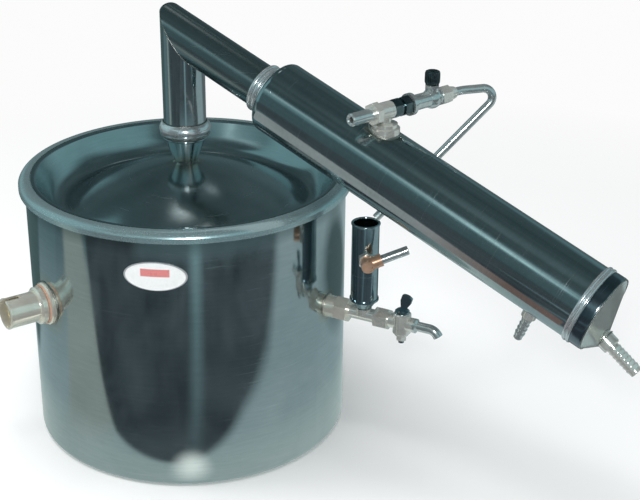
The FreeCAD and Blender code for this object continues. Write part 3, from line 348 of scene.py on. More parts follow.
def dull(name, light, dark, rough, grain=4e-5, scale=220.0, metallic=0.0):
    """A matt, cloudy surface: rubber, fibre, moulded plastic, or the oxide on a weld."""
    mat, tree, shader = new_material(name, metallic)
    place = object_place(tree)
    cloud = noise(tree, place, scale, 7.0, 0.65, 0.3)
    colour = blend(tree, rise(tree, cloud, 0.3, 0.7), dark, light)
    gloss = remap(tree, noise(tree, place, scale * 2, 4.0), 0.3, 0.7, *rough)
    dressed(tree, shader, colour, gloss, (noise(tree, place, scale * 6, 3.0), grain))
    return mat


def enamel(name):
    """White enamel with a dark edge and a plain red bar, on the face of the boiler."""
    mat, tree, shader = new_material(name, 0.0)
    place = local_place(tree, BADGE)
    parts = split(tree, place)
    upward = over(tree, parts[0], BADGE_HALF_HEIGHT * MM)
    across = over(tree, parts[1], BADGE_HALF_WIDTH * MM)
    out = calculate(tree, "SQRT", plus(tree, times(tree, across, across), times(tree, upward, upward)))
    grime = noise(tree, place, 120.0, 6.0, 0.7)
    soiled = remap(tree, grime, 0.45, 0.75, 0.0, 0.5)
    white = blend(tree, soiled, (0.80, 0.82, 0.82), (0.62, 0.64, 0.63))
    half_bar = fall(tree, calculate(tree, "ABSOLUTE", across), 0.44, 0.47)
    bar = times(tree, half_bar, inside(tree, upward, 0.02, 0.50, 0.04))
    colour = blend(tree, times(tree, bar, 0.85), white, (0.62, 0.11, 0.10))
    colour = blend(tree, rise(tree, out, 0.93, 0.96), colour, (0.30, 0.32, 0.33))
    raised = plus(tree, bar, rise(tree, out, 0.90, 0.97))
    dressed(tree, shader, colour, remap(tree, grime, 0.3, 0.7, 0.2, 0.4), (raised, 0.00015))
    return mat


# Spots where heat has tinted the sheet: socket, heater boss and feed boss, then the condenser's two bosses
BOILER_WELDS = [
    ((0, 0, 252), 15),
    (HEATER @ Vector((0, 0, BOILER_R)), 25),
    (FEED @ Vector((0, 0, BOILER_R)), 15),
]
CONDENSER_WELDS = [
    ((WATER_BOSS_X, 0, 324), 17),
    (INLET @ Vector((0, 0, JACKET_R)), 10),
]

PLAIN_SHEET = dict(where=UPRIGHT, light=(0.50, 0.56, 0.57), dark=(0.40, 0.47, 0.48))
BOILER_SHEET = dict(PLAIN_SHEET, spots=BOILER_WELDS)
STEELS = {
    "boiler_steel": BOILER_SHEET,
    # The boiler's shell carries painted shade under the rim.
    "shell_steel": dict(BOILER_SHEET, painted_shade_under_rim=True),
    "rim_steel": dict(where=UPRIGHT, light=(0.42, 0.56, 0.57), dark=(0.36, 0.49, 0.51),
                      rough=(0.22, 0.30), lines=8e-7, ripple=2e-5, metallic=0.80),
    "dish_steel": dict(BOILER_SHEET, rough=(0.13, 0.22)),
    # The vapour pipe's sloping part gets painted shade and more roughness.
    "pipe_steel": dict(BOILER_SHEET, rough_slope_painted_shade=True),
    # A darker copy of the sheet for the cup and the cock: its darker tone is painted shade.
    "cup_steel": dict(where=UPRIGHT, light=(0.42, 0.51, 0.54), dark=(0.31, 0.40, 0.43),
                      rough=(0.08, 0.18)),
    "condenser_steel": dict(PLAIN_SHEET, where=CONDENSER, rough=(0.07, 0.17), spots=CONDENSER_WELDS),
    "collar_steel": dict(where=CONDENSER, light=(0.78, 0.81, 0.82), dark=(0.66, 0.70, 0.71),
                         rough=(0.14, 0.26), metallic=0.86),
    "band_steel": dict(where=CONDENSER, light=(0.25, 0.28, 0.34), dark=(0.17, 0.21, 0.23),
                       rough=(0.12, 0.22)),
    "cone_steel": dict(where=CONDENSER, light=(0.66, 0.71, 0.66), dark=(0.50, 0.57, 0.54),
                       rough=(0.14, 0.26), metallic=0.76),
    "satin_steel": dict(where=UPRIGHT, light=(0.56, 0.56, 0.53), dark=(0.42, 0.43, 0.41),
                        rough=(0.2, 0.34)),
}
CASTINGS = {
    "nickel": dict(light=(0.86, 0.85, 0.79), dark=(0.70, 0.69, 0.64), worn=(0.74, 0.68, 0.54),
                   rough=(0.12, 0.24), grain=2e-6, wear=(0.70, 0.82), metallic=0.74),
    "bright_nickel": dict(light=(0.78, 0.80, 0.78), dark=(0.60, 0.63, 0.63), worn=(0.64, 0.62, 0.54),
                          rough=(0.10, 0.24), grain=4e-6, metallic=0.88),
    # Chrome whose dark tone is a painted reflection of a dark room, with worn patches.
    "dark_plate": dict(light=(0.20, 0.25, 0.26), dark=(0.09, 0.12, 0.13), worn=(0.36, 0.38, 0.36),
                       rough=(0.12, 0.3)),
    "pale_brass": dict(light=(0.95, 0.91, 0.80), dark=(0.84, 0.80, 0.69), worn=(0.74, 0.66, 0.50),
                       rough=(0.12, 0.22), grain=2e-6, wear=(0.70, 0.82), metallic=0.72),
    "copper_brass": dict(light=(0.74, 0.46, 0.32), dark=(0.50, 0.30, 0.20), worn=(0.70, 0.56, 0.40),
                         rough=(0.25, 0.45), metallic=0.7),
    "pin_brass": dict(light=(0.76, 0.66, 0.40), dark=(0.55, 0.46, 0.26), worn=(0.40, 0.33, 0.22),
                      rough=(0.15, 0.35)),
}
MATT = {
    "weld_steel": dict(light=(0.62, 0.60, 0.55), dark=(0.33, 0.31, 0.28), rough=(0.25, 0.5),
                       grain=8e-5, scale=160.0, metallic=1.0),
    "fibre": dict(light=(0.58, 0.37, 0.27), dark=(0.40, 0.24, 0.17), rough=(0.6, 0.85)),
    "seal": dict(light=(0.20, 0.21, 0.21), dark=(0.12, 0.13, 0.13), rough=(0.45, 0.7)),
    "insulator": dict(light=(0.56, 0.50, 0.40), dark=(0.38, 0.33, 0.26), rough=(0.5, 0.75)),
}
FINISH = {
    "shell_steel": ["boiler_shell"],
    "boiler_steel": ["vapour_socket"],
    "dish_steel": ["lid_dish"],
    "pipe_steel": ["vapour_pipe"],
    # The cup and the cock get the darker sheet, whose tone is painted shade.
    "cup_steel": ["level_cup", "cup_cone", "cock_handle", "cock_plug"],
    "rim_steel": ["lid_rim"],
    "collar_steel": ["neck_collar", "column_collar", "jacket_end_bead"],
    "condenser_steel": ["jacket_top_cap", "cooling_jacket"],
    "cone_steel": ["outlet_cone"],
    "satin_steel": ["column_spigot", "splash_baffle", "upper_tube_plate", "lower_tube_plate",
                    "condensing_tubes", "heating_element"],
    "bright_nickel": ["drain_nozzle", "cooling_inlet_nozzle", "gland_nut", "feed_tube", "valve_body",
                      "drain_spout", "overflow_nozzle"],
    "nickel": ["feed_tee", "cock_body", "cock_washer", "cock_tail_nut", "outlet_tee",
               "valve_spindle", "compression_nut", "overflow_nut", "feed_union",
               "water_boss", "cooling_inlet_boss", "outlet_collar", "distillate_nozzle"],
    # The union and the knob: chrome with a painted dark reflection.
    "dark_plate": ["valve_union", "valve_knob"],
    "pale_brass": ["feed_boss", "feed_nut", "heater_boss", "heater_body", "heater_backnut",
                   "heater_shroud"],
    "copper_brass": ["overflow_elbow"],
    "fibre": ["heater_washer"],
    "seal": ["lid_gasket", "taper_seal"],
    "insulator": ["heater_insulator"],
    "pin_brass": ["heater_pins"],
    "badge_enamel": ["oval_badge"],
}


def all_materials():
    made = {name: steel(name, **row) for name, row in STEELS.items()}
    made.update({name: cast(name, **row) for name, row in CASTINGS.items()})
    made.update({name: dull(name, **row) for name, row in MATT.items()})
    made["badge_enamel"] = enamel("badge_enamel")
    return made


def dress_nodes():
    for finish, names in FINISH.items():
        for name in names:
            NODES[name].data.materials.clear()
            NODES[name].data.materials.append(MATERIALS[finish])


MATERIALS = all_materials()
dress_nodes()


# Pieces that add to the solids or stand for them. Their shapes are in millimetres.

def finished(name, shape, finish, body, stands_for=(), sharp_deg=38.0):
    """Makes a piece of the object: smooth faces, with a sharp edge where the surface turns quickly."""
    bmesh.ops.recalc_face_normals(shape, faces=shape.faces)
    for face in shape.faces:
        face.smooth = True
    for edge in shape.edges:
        if len(edge.link_faces) == 2:
            edge.smooth = edge.calc_face_angle(0.0) < math.radians(sharp_deg)
    ob = linked_mesh(name, shape, MATERIALS[finish])
    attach(ob, body)
    if stands_for:
        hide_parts(*stands_for)
    return ob


def linked_mesh(name, shape, mat):
    mesh = bpy.data.meshes.new(name)
    shape.to_mesh(mesh)
    shape.free()
    mesh.materials.append(mat)
    ob = bpy.data.objects.new(name, mesh)
    bpy.context.scene.collection.objects.link(ob)
    return ob


def level_unit(angle):
    return Vector((math.cos(angle), math.sin(angle), 0))


def rounded(profile, radius, steps=4):
    """The closed profile with every corner turned into a short curve."""
    points = [Vector(point) for point in profile]
    result = []
    for index, corner in enumerate(points):
        before = points[index - 1] - corner
        after = points[(index + 1) % len(points)] - corner
        reach = min(radius, before.length * 0.45, after.length * 0.45)
        start = corner + before.normalized() * reach
        stop = corner + after.normalized() * reach
        for step in range(steps + 1):
            t = step / steps
            result.append(start * (1 - t) ** 2 + corner * 2 * t * (1 - t) + stop * t * t)
    return result


def smooth_line(points, steps=4):
    """A curve through the points, with more points on it."""
    result = []
    for index in range(len(points) - 1):
        a, b = points[max(index - 1, 0)], points[index]
        c, d = points[index + 1], points[min(index + 2, len(points) - 1)]
        for step in range(steps):
            t = step / steps
            result.append(tuple(curve_value(a[k], b[k], c[k], d[k], t) for k in (0, 1)))
    result.append(points[-1])
    return result


def curve_value(a, b, c, d, t):
    """A smooth path from b to c, steered by a before and d after them."""
    bend = 2 * a - 5 * b + 4 * c - d
    twist = 3 * b - a - 3 * c + d
    return 0.5 * (2 * b + (c - a) * t + bend * t ** 2 + twist * t ** 3)


def join_rings(shape, rings, closed, profile_closed=True):
    """Faces between rings of equally many points."""
    count = len(rings[0])
    for index in range(len(rings) if closed else len(rings) - 1):
        one, other = rings[index], rings[(index + 1) % len(rings)]
        for at in range(count if profile_closed else count - 1):
            after = (at + 1) % count
            shape.faces.new((one[at], one[after], other[after], other[at]))


def weld_points(shape):
    bmesh.ops.remove_doubles(shape, verts=shape.verts, dist=0.000002)


def spun(shape, profile, where, segments, wave=None):
    """Turns a closed profile of (radius, height) about an axis. A wave adds to the radius."""
    rings = []
    for step in range(segments):
        angle = 2 * math.pi * step / segments
        ring = []
        for radius, height in profile:
            reach = radius + (wave(angle, radius) if wave else 0.0)
            place = where @ Vector((reach * math.cos(angle), reach * math.sin(angle), height))
            ring.append(shape.verts.new(place * MM))
        rings.append(ring)
    join_rings(shape, rings, True)
    weld_points(shape)


def swept(shape, path, sizes, closed, flat=1.0, sides=8):
    """A bead along (point, outward) pairs. The size may change from point to point."""
    rings = []
    for index, (point, out) in enumerate(path):
        before = path[index - 1][0] if closed or index else point
        after = path[(index + 1) % len(path)][0] if closed or index + 1 < len(path) else point
        along = (after - before).normalized()
        side = along.cross(out).normalized()
        size = sizes[index]
        ring = []
        for step in range(sides):
            angle = 2 * math.pi * step / sides
            lift = out.normalized() * math.sin(angle) * size * flat + side * math.cos(angle) * size
            ring.append(shape.verts.new((point + lift) * MM))
        rings.append(ring)
    join_rings(shape, rings, closed)
    if not closed:
        shape.faces.new(rings[0])
        shape.faces.new(list(reversed(rings[-1])))


# Weld beads and dressed seams

def bead_sizes(count, spacing, size, ends):
    """Overlapping ripples of a hand laid weld, a little uneven. With ends, it tapers at both."""
    ripple_length = 1.4
    sizes = []
    for index in range(count):
        ripple = abs(math.sin(math.pi * index * spacing / ripple_length))
        value = size * (0.80 + 0.26 * ripple + random.uniform(-0.05, 0.05))
        if ends:
            value *= min(1.0, 0.25 + min(index, count - 1 - index) / 6.0)
        sizes.append(value)
    return sizes


def run_length(round_curve, first, last, parts=60):
    """About how long the curve is between two angles."""
    points = [round_curve(first + (last - first) * k / parts)[0] for k in range(parts + 1)]
    return sum((one - other).length for one, other in zip(points, points[1:]))


def weld(name, body, size, round_curve, span=(0.0, 360.0), flat=1.0):
    """A weld bead along round_curve(angle), which gives a point and its outward direction."""
    point_spacing = 0.42
    closed = span[1] - span[0] >= 360.0
    first, last = math.radians(span[0]), math.radians(span[1])
    length = run_length(round_curve, first, last)
    count = max(24, int(length / point_spacing))
    steps = count if closed else count - 1
    path = [round_curve(first + (last - first) * k / steps) for k in range(count)]
    shape = bmesh.new()
    swept(shape, path, bead_sizes(count, length / count, size, not closed), closed, flat)
    return finished(name, shape, "weld_steel", body, sharp_deg=60.0)


def circle(where, radius, height):
    def curve(angle):
        out = level_unit(angle)
        return where @ (out * radius + UP * height), where.to_3x3() @ (out + UP * 0.6)
    return curve


def saddle(where, radius, big_radius):
    """Where a round boss along z meets a big cylinder whose axis is along x."""
    def curve(angle):
        flat = level_unit(angle)
        depth = math.sqrt(big_radius ** 2 - (radius * flat.y) ** 2)
        return where @ (flat * radius + UP * depth), where.to_3x3() @ (flat * 0.5 + UP)
    return curve


def boss_foot(angle):
    """Where the upright water boss meets the sloping jacket."""
    flat = level_unit(angle)
    across = WATER_BOSS_R * flat.y
    along = WATER_BOSS_X + WATER_BOSS_R * flat.x
    height = math.sqrt(JACKET_R ** 2 - across ** 2)
    level = MITRE_HEIGHT + (height - along * math.sin(SLOPE)) / math.cos(SLOPE)
    return Vector((along, across, level)), flat * 0.6 + ABOVE


def mitre_line(angle):
    """The crease between the upright and the sloping pipe."""
    flat = level_unit(angle)
    slope = (1 + math.sin(SLOPE)) / math.cos(SLOPE)
    return MITRE + flat * PIPE_R + UP * (-PIPE_R * flat.x * slope), flat


def jacket_seam(share):
    """The lengthwise seam of the rolled jacket, on its far side underneath."""
    side = (Vector((0, 1, 0)) - ABOVE).normalized()
    return MITRE + ALONG * (112 + 306 * share) + side * (JACKET_R - 0.15), side


def boiler_seam(share):
    """The upright seam at the back of the boiler, dressed nearly flat."""
    out = heading(128)
    return out * (BOILER_R - 0.15) + UP * (8 + 225 * share), out


def dressed_seam(name, body, curve, length):
    """A low, wide bead along curve(share), where the share runs from zero to one."""
    half_width = 1.5
    spacing = 1.5
    count = int(length / spacing)
    shape = bmesh.new()
    sizes = [half_width + random.uniform(-0.12, 0.12) for _ in range(count)]
    path = [curve(k / (count - 1)) for k in range(count)]
    swept(shape, path, sizes, False, 0.22, 10)
    return finished(name, shape, "satin_steel", body, sharp_deg=60.0)


def make_welds():
    weld("socket_weld", "lid", 0.9, circle(Matrix.Translation((0, 0, 251.9)), 9.9, 0.0))
    weld("heater_boss_weld", "boiler", 1.0, saddle(HEATER, 19.3, BOILER_R))
    weld("feed_boss_weld", "boiler", 0.9, saddle(FEED, 10.3, BOILER_R))
    weld("water_boss_weld", "condenser", 0.9, boss_foot)
    weld("inlet_boss_weld", "condenser", 0.7, saddle(INLET, 6.5, JACKET_R))
    weld("outlet_weld", "condenser", 0.7, circle(OUTLET, 7.7, 0.3))
    weld("neck_weld", "condenser", 0.7, circle(CONDENSER, 20.3, 104.9))
    weld("neck_start_weld", "condenser", 0.5, circle(CONDENSER, 19.5, 91.9))
    weld("cone_weld", "condenser", 0.6, circle(CONDENSER, 31.5, 438.0))
    weld("collar_weld", "condenser", 0.6, circle(UPRIGHT, 19.6, 290.6))
    weld("mitre_weld", "condenser", 0.45, mitre_line, (-125, 125), 0.6)
    dressed_seam("jacket_seam", "condenser", jacket_seam, 306)
    dressed_seam("boiler_seam", "boiler", boiler_seam, 225)


make_welds()


# The other pieces

def end_band():
    """The turned band that closes the jacket's lower end, next to the cone."""
    edge = [(31.4, 428.2), (32.2, 428.2), (32.35, 429.5), (32.35, 436.6), (32.1, 437.9), (31.4, 438.2)]
    shape = bmesh.new()
    spun(shape, rounded(edge, 0.4), CONDENSER, 144)
    return finished("jacket_end_band", shape, "band_steel", "condenser")


def badge_piece():
    """A domed oval of enamel with a thin raised rim, bent to the boiler's wall."""
    segments = 96
    share_and_lift = [(0.0, 1.25), (0.3, 1.2), (0.6, 1.05), (0.82, 0.86), (0.90, 0.80), (0.915, 0.95),
                      (0.94, 1.04), (0.97, 1.02), (0.99, 0.9), (1.0, 0.7), (1.0, 0.05)]
    shape = bmesh.new()
    rings = []
    for share, lift in share_and_lift:
        ring = []
        for step in range(segments):
            angle = 2 * math.pi * step / segments
            upward = BADGE_HALF_HEIGHT * share * math.cos(angle)
            across = BADGE_HALF_WIDTH * share * math.sin(angle)
            depth = math.sqrt((BOILER_R + lift) ** 2 - across ** 2)
            ring.append(shape.verts.new(BADGE @ Vector((upward, across, depth)) * MM))
        rings.append(ring)
    join_rings(shape, rings, False)
    weld_points(shape)
    return finished("badge_plate", shape, "badge_enamel", "boiler", ["oval_badge"], 60.0)


def dome_height(radius):
    """The domed middle of the lid: an arc that meets the socket's foot and the valley."""
    return 251.8 - 271.3 + math.sqrt(275.0 ** 2 - (radius + 33.0) ** 2)


def dish_piece():
    """The lid's dish as it was spun: a soft bowl between the rim and the domed middle."""
    sheet = 1.4
    top = [(139.2, 244.6), (137.0, 244.6), (136.2, 244.4), (135.6, 244.0), (135.0, 243.3), (134.6, 242.5)]
    wall = [(130.6, 234.8), (126.6, 227.6), (121.8, 221.2), (116.4, 217.5), (110.4, 216.5), (104.0, 218.9)]
    dome = [(97.0 - 5.0 * step, dome_height(97.0 - 5.0 * step)) for step in range(17)]
    foot = [(10.0, 252.1), (8.3, 251.8)]
    line = smooth_line(top + wall + dome + foot)
    under = [(radius, height - sheet) for radius, height in reversed(line)]
    shape = bmesh.new()
    spun(shape, line + under, UPRIGHT, 192)
    return finished("dish_sheet", shape, "dish_steel", "lid", ["lid_dish"])


def knurl(angle, radius):
    """Twenty-four grooves, half a millimetre deep, on the widest part of the knob."""
    if radius <= 6.0:
        return 0.0
    return -0.5 * abs(math.sin(12 * angle)) ** 0.7


def knob_piece():
    """The regulating valve's knob: a knurled side between two rounded lands, dished on top."""
    profile = [(1.6, 12.6), (5.2, 12.6), (5.9, 13.0), (6.35, 14.2), (6.4, 16.0), (6.4, 18.0), (6.4, 20.0),
               (6.35, 21.8), (5.9, 23.1), (5.0, 23.6), (4.2, 23.5), (3.6, 23.0), (1.6, 22.9)]
    shape = bmesh.new()
    spun(shape, profile, KNOB, 144, knurl)
    return finished("knob_cap", shape, "dark_plate", "valve", ["valve_knob"], 50.0)


end_band()
badge_piece()
dish_piece()
knob_piece()


# Cards that only reflections see, as the room that the steel mirrors. They are in metres.

ROOM_R = 6.0
FLOOR_CARD_SIZE = 5.9
DIM_CORNER = TOWARDS_CAMERA * 0.669 - CAMERA_RIGHT * 0.743
BRIGHT_SPOT = TOWARDS_CAMERA * 0.176 + CAMERA_RIGHT * 0.012
# Where the bench carries a patch of painted shade, below the feed cup.
UNDER_CUP = CAMERA_RIGHT * 0.38 - TOWARDS_CAMERA * 0.25
WALL_COLOUR = (0.235, 0.41, 0.44)

# Lights of the room: (towards the camera, right, up), inner reach, outer reach, colour.
# They give the jacket's end, the dome, the rim's front and the lid's beads their highlights.
ROOM_LIGHTS = (
    ((0.68, -0.45, 0.545), 0.02, 0.09, (0.75, 1.05, 1.08)),
    ((-0.35, -0.06, 0.93), 0.02, 0.12, (1.05, 1.12, 1.12)),
    ((-0.58, 0.108, 0.807), 0.01, 0.055, (0.62, 0.70, 0.72)),
    ((0.88, 0.0, 0.47), 0.02, 0.10, (1.9, 2.0, 2.0)),
)


def glow_material(name, paint):
    """An unlit colour. It lights nothing else."""
    mat = bpy.data.materials.new(name)
    mat.use_nodes = True
    mat.cycles.emission_sampling = "NONE"
    tree = mat.node_tree
    tree.nodes.clear()
    emission = node(tree, "ShaderNodeEmission", {"Color": paint(tree), "Strength": 1.0})
    output = node(tree, "ShaderNodeOutputMaterial")
    tree.links.new(emission.outputs[0], output.inputs["Surface"])
    return mat


def stage_mesh(name, make_shape, mat):
    shape = bmesh.new()
    make_shape(shape)
    ob = linked_mesh(name, shape, mat)
    return ob


def reflected(name, make_shape, paint):
    """A card with an unlit colour, seen by glossy rays only."""
    ob = stage_mesh(name, make_shape, glow_material(name, paint))
    ob.visible_camera = False
    ob.visible_diffuse = False
    ob.visible_shadow = False
    ob.visible_transmission = False
    ob.visible_volume_scatter = False


def cloudy(tree, cloud, low, high, first, second):
    return blend(tree, rise(tree, cloud, low, high), first, second)


def room_light(tree, unit, towards, inner, outer):
    """One near a direction of the room, falling to zero at the outer reach."""
    near, right, up = towards
    aim = TOWARDS_CAMERA * near + CAMERA_RIGHT * right + UP * up
    return fall(tree, distance(tree, unit, aim.normalized()), inner, outer)


def near_corner(tree, unit):
    """One straight towards the dim corner, whatever the height."""
    level = vector_node(tree, "MULTIPLY", unit, (1, 1, 0)).outputs[0]
    level = vector_node(tree, "NORMALIZE", level).outputs[0]
    return dot(tree, level, DIM_CORNER)


def ceiling_height(tree, near, right):
    """Where the wall ends: higher in front, to the right, and in a stretch to the left."""
    front = remap(tree, near, -0.2, 0.4, 0.26, 0.60)
    far_right = remap(tree, right, 0.1, 0.6, 0.0, 0.18)
    far_left = remap(tree, right, -0.30, -0.50, 0.0, 0.55)
    far_left = times(tree, far_left, inside(tree, near, -0.42, 0.12, 0.14))
    return plus(tree, front, far_right, far_left)


def wall_share(tree, near, right, up, corner):
    """One on the pale wall: not in the dim corner, and faint behind the object."""
    above = minus(tree, up, ceiling_height(tree, near, right))
    wall = times(tree, rise(tree, up, 0.01, 0.10), fall(tree, above, -0.06, 0.12))
    dim = times(tree, remap(tree, corner, 0.88, 0.96, 0.0, 0.85), fall(tree, up, 0.44, 0.58))
    behind = remap(tree, near, -0.95, -0.60, 0.12, 1.0)
    behind = largest(tree, behind, remap(tree, right, -0.34, -0.40, 0.0, 0.85))
    return times(tree, wall, minus(tree, 1.0, dim), behind)


def room_paint(tree):
    """A dim teal room: pale walls low down, a darker corner with a strip light, a lit ceiling in front."""
    unit = vector_node(tree, "NORMALIZE", object_place(tree)).outputs[0]
    near = dot(tree, unit, TOWARDS_CAMERA)
    right = dot(tree, unit, CAMERA_RIGHT)
    up = split(tree, unit)[2]
    corner = near_corner(tree, unit)
    cloud = noise(tree, unit, 2.5, 4.0, 0.6, 0.6)
    colour = cloudy(tree, cloud, 0.35, 0.65, (0.045, 0.075, 0.082), (0.085, 0.125, 0.135))
    ceiling = times(tree, rise(tree, up, 0.84, 0.92), rise(tree, near, 0.12, 0.30),
                    rise(tree, right, -0.26, -0.12))
    strip = times(tree, inside(tree, up, 0.60, 0.64, 0.03), rise(tree, corner, 0.90, 0.97))
    layers = [
        (wall_share(tree, near, right, up, corner), WALL_COLOUR),
        (ceiling, (0.12, 0.17, 0.18)),
        (strip, (0.42, 0.58, 0.60)),
    ]
    for towards, inner, outer, tone in ROOM_LIGHTS:
        layers.append((room_light(tree, unit, towards, inner, outer), tone))
    return layered(tree, colour, layers)


def past_front_edge(tree, near, right):
    """How far past the bench's front edge a point of the floor lies, in metres."""
    left_run = remap(tree, right, -0.9, -0.12, 0.205, 0.0)
    right_run = remap(tree, right, 0.30, 0.90, 0.0, 0.12)
    bulge = remap(tree, right, 0.0, 0.14, 0.0, 0.034)
    return minus(tree, near, 0.177, left_run, right_run, bulge)


def front_strip(tree, near, right):
    """A warm strip of the bench in front of the boiler, on the left."""
    slanted = minus(tree, near, times(tree, largest(tree, right, -0.40), -0.21))
    return times(tree, fall(tree, right, -0.15, -0.10), fall(tree, slanted, 0.17, 0.20),
                 rise(tree, near, 0.075, 0.095))


def dark_behind(tree, near, right):
    """A dark place behind the boiler, on the left."""
    beyond = minus(tree, times(tree, right, 0.45), near)
    return times(tree, rise(tree, beyond, -0.025, 0.0), rise(tree, right, -0.20, -0.24))


def bench_paint(tree, place, near, right, cloud):
    """The lit bench: brightest close round the boiler, and darker far to the left and far back."""
    away = size_of(tree, place)
    pale = cloudy(tree, cloud, 0.3, 0.7, (0.35, 0.45, 0.47), (0.41, 0.50, 0.51))
    far_left = times(tree, rise(tree, away, 0.27, 0.60), fall(tree, right, -0.15, 0.0))
    far_back = times(tree, rise(tree, away, 0.55, 0.75), rise(tree, near, -0.40, -0.60))
    return layered(tree, pale, [
        (far_left, (0.13, 0.20, 0.22)),
        (far_back, (0.14, 0.15, 0.155)),
        # Painted shade: the bench is dark below the feed cup.
        (fall(tree, distance(tree, place, UNDER_CUP), 0.11, 0.20), (0.07, 0.10, 0.105)),
        (front_strip(tree, near, right), (0.38, 0.43, 0.40)),
        (dark_behind(tree, near, right), (0.06, 0.10, 0.10)),
        (fall(tree, away, 0.16, 0.23), (0.52, 0.61, 0.59)),
    ])


def streak_share(tree, near, right):
    """A streak of light on the floor that widens and brightens away from the object."""
    aside = plus(tree, minus(tree, right, times(tree, near, 0.205)), 0.022)
    aside = calculate(tree, "ABSOLUTE", aside)
    width = times(tree, near, 0.10)
    streak = fall(tree, over(tree, aside, width), 0.1, 1.0)
    return times(tree, streak, remap(tree, near, 0.20, 0.75, 0.12, 1.0))


def spot_share(tree, place):
    """A small round glint on the bench, close in front of the boiler."""
    away = distance(tree, place, BRIGHT_SPOT)
    inputs = {0: away, 1: 0.002, 2: 0.034, 3: 1.0, 4: 0.0}
    return node(tree, "ShaderNodeMapRange", inputs, interpolation_type="SMOOTHSTEP").outputs[0]


def floor_paint(tree):
    """The bench round the boiler is pale. Past its front edge the room is dark, then lighter again."""
    place = object_place(tree)
    near = dot(tree, place, TOWARDS_CAMERA)
    right = dot(tree, place, CAMERA_RIGHT)
    cloud = noise(tree, place, 6.0, 4.0, 0.6, 0.6)
    dark = cloudy(tree, cloud, 0.35, 0.65, (0.045, 0.060, 0.068), (0.105, 0.130, 0.145))
    beyond = inside(tree, size_of(tree, place), 0.665, 0.90, 0.04)
    beyond = times(tree, beyond, rise(tree, right, -0.34, -0.28))
    dark = blend(tree, beyond, dark, (0.20, 0.28, 0.30))
    soft = remap(tree, right, 0.0, 0.3, 0.008, 0.05)
    past = over(tree, past_front_edge(tree, near, right), soft)
    pale = bench_paint(tree, place, near, right, cloud)
    return layered(tree, pale, [
        (rise(tree, past, 0.0, 1.0), dark),
        (streak_share(tree, near, right), (0.30, 0.46, 0.48)),
        (spot_share(tree, place), (1.25, 1.28, 1.2)),
    ])


def cloth_paint(tree):
    """Grey under the condenser's upper half, brown under its lower end."""
    place = local_place(tree, CONDENSER)
    along = split(tree, place)[2]
    cloud = noise(tree, place, 30.0, 4.0, 0.6)
    grey = cloudy(tree, cloud, 0.3, 0.7, (0.38, 0.40, 0.40), (0.48, 0.50, 0.50))
    return blend(tree, rise(tree, along, 0.25, 0.36), grey, (0.26, 0.17, 0.15))


def end_paint(tree):
    cloud = noise(tree, object_place(tree), 14.0, 4.0, 0.6, 0.5)
    return cloudy(tree, cloud, 0.35, 0.65, (0.050, 0.058, 0.075), (0.14, 0.17, 0.17))


def jacket_card(shape):
    """The pale bench cloth under the condenser, as its lower side mirrors it. In millimetres."""
    inner_edge = -36
    rows = []
    for along, outer_edge in ((84, -84), (196, -76), (306, -66), (412, -58)):
        middle = MITRE + ALONG * along - ABOVE * 45
        sides = [middle + Vector((0, side, 0)) for side in (inner_edge, outer_edge)]
        rows.append([shape.verts.new(point * MM) for point in sides])
    join_rings(shape, rows, False, False)


def end_card(shape):
    """The dark room beyond the outlet, as the cone mirrors it. In millimetres."""
    corners = ((360, 15), (500, 15), (500, 170), (360, 170))
    shape.faces.new([shape.verts.new(Vector((x, y, 150)) * MM) for x, y in corners])


def room_sphere(shape):
    bmesh.ops.create_uvsphere(shape, u_segments=64, v_segments=32, radius=ROOM_R)


def plane_maker(size, height):
    def make(shape):
        lift = Matrix.Translation((0, 0, height))
        bmesh.ops.create_grid(shape, x_segments=1, y_segments=1, size=size, matrix=lift)
    return make


reflected("jacket_card", jacket_card, cloth_paint)
reflected("end_card", end_card, end_paint)
reflected("reflected_room", room_sphere, room_paint)
reflected("reflected_floor", plane_maker(FLOOR_CARD_SIZE, -0.0004), floor_paint)


# Floor, world, lamps and camera

def viewed_share(tree):
    """One for the rays of the camera, and for those that it sends on by gloss or through glass."""
    rays = node(tree, "ShaderNodeLightPath").outputs
    return largest(tree, rays["Is Camera Ray"], rays["Is Glossy Ray"], rays["Is Transmission Ray"])


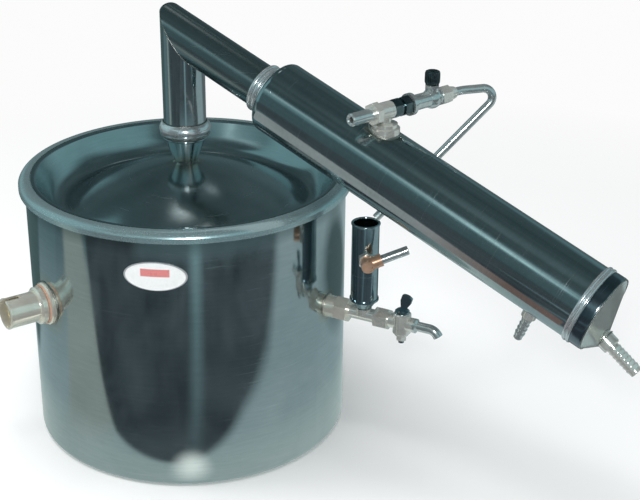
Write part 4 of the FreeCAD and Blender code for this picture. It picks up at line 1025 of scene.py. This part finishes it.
def floor_material():
    """Pale and matt, with the object's shadow. Far away it is seen as plain white."""
    mat, tree, shader = new_material("floor", 0.0)
    place = object_place(tree)
    colour = cloudy(tree, noise(tree, place, 3.0, 5.0), 0.3, 0.7, (0.88, 0.88, 0.88), (0.90, 0.90, 0.895))
    tree.links.new(colour, shader.inputs["Base Color"])
    shader.inputs["Roughness"].default_value = 0.7
    far = rise(tree, distance(tree, place, (0.12, 0, 0)), 0.35, 1.1)
    white = node(tree, "ShaderNodeEmission", {"Color": (0.97, 0.97, 0.97, 1.0)})
    share = times(tree, viewed_share(tree), far)
    mixed = node(tree, "ShaderNodeMixShader", {0: share, 1: shader.outputs[0], 2: white.outputs[0]})
    tree.links.new(mixed.outputs[0], tree.nodes["Material Output"].inputs["Surface"])
    mat.cycles.emission_sampling = "NONE"
    return mat


def make_world():
    """A grey sky that lights the object, seen as nearly white."""
    world = bpy.data.worlds.new("studio")
    bpy.context.scene.world = world
    world.use_nodes = True
    tree = world.node_tree
    colour = blend(tree, viewed_share(tree), (0.52, 0.54, 0.55), (0.96, 0.96, 0.96))
    tree.links.new(colour, tree.nodes["Background"].inputs["Color"])


def lamp(name, at, aim, size, watts, glossy=True):
    data = bpy.data.lights.new(name, "AREA")
    data.shape = "DISK"
    data.size = size
    data.energy = watts
    ob = bpy.data.objects.new(name, data)
    ob.location = at
    ob.rotation_mode = "QUATERNION"
    ob.rotation_quaternion = (Vector(aim) - Vector(at)).to_track_quat("-Z", "Y")
    ob.visible_glossy = glossy
    ob.visible_camera = False
    bpy.context.scene.collection.objects.link(ob)


def make_camera():
    data = bpy.data.cameras.new("camera")
    data.lens = CAMERA_LENS
    data.sensor_width = CAMERA_SENSOR
    right = CAMERA_FORWARD.cross(CAMERA_UP).normalized()
    turn = Matrix((right, right.cross(CAMERA_FORWARD), -CAMERA_FORWARD)).transposed().to_4x4()
    turn.translation = CAMERA_AT
    ob = bpy.data.objects.new("camera", data)
    ob.matrix_world = turn
    bpy.context.scene.collection.objects.link(ob)
    bpy.context.scene.camera = ob


stage_mesh("floor", plane_maker(14.0, -0.001), floor_material())
make_world()
lamp("flash", CAMERA_AT + Vector((0.0, 0.0, 0.05)), (0.1, 0, 0.2), 0.14, 5.0)
lamp("front", TOWARDS_CAMERA * 0.55 + Vector((0, 0, 1.45)), (0, 0, 0.24), 0.22, 2.0, False)
lamp("overhead", (-0.3, -0.2, 2.2), (0.1, 0, 0.0), 1.6, 26.0, False)
lamp("side", (-1.5, -1.0, 1.2), (0.0, 0, 0.2), 0.9, 10.0, False)
make_camera()
bpy.context.scene.view_settings.view_transform = "Standard"
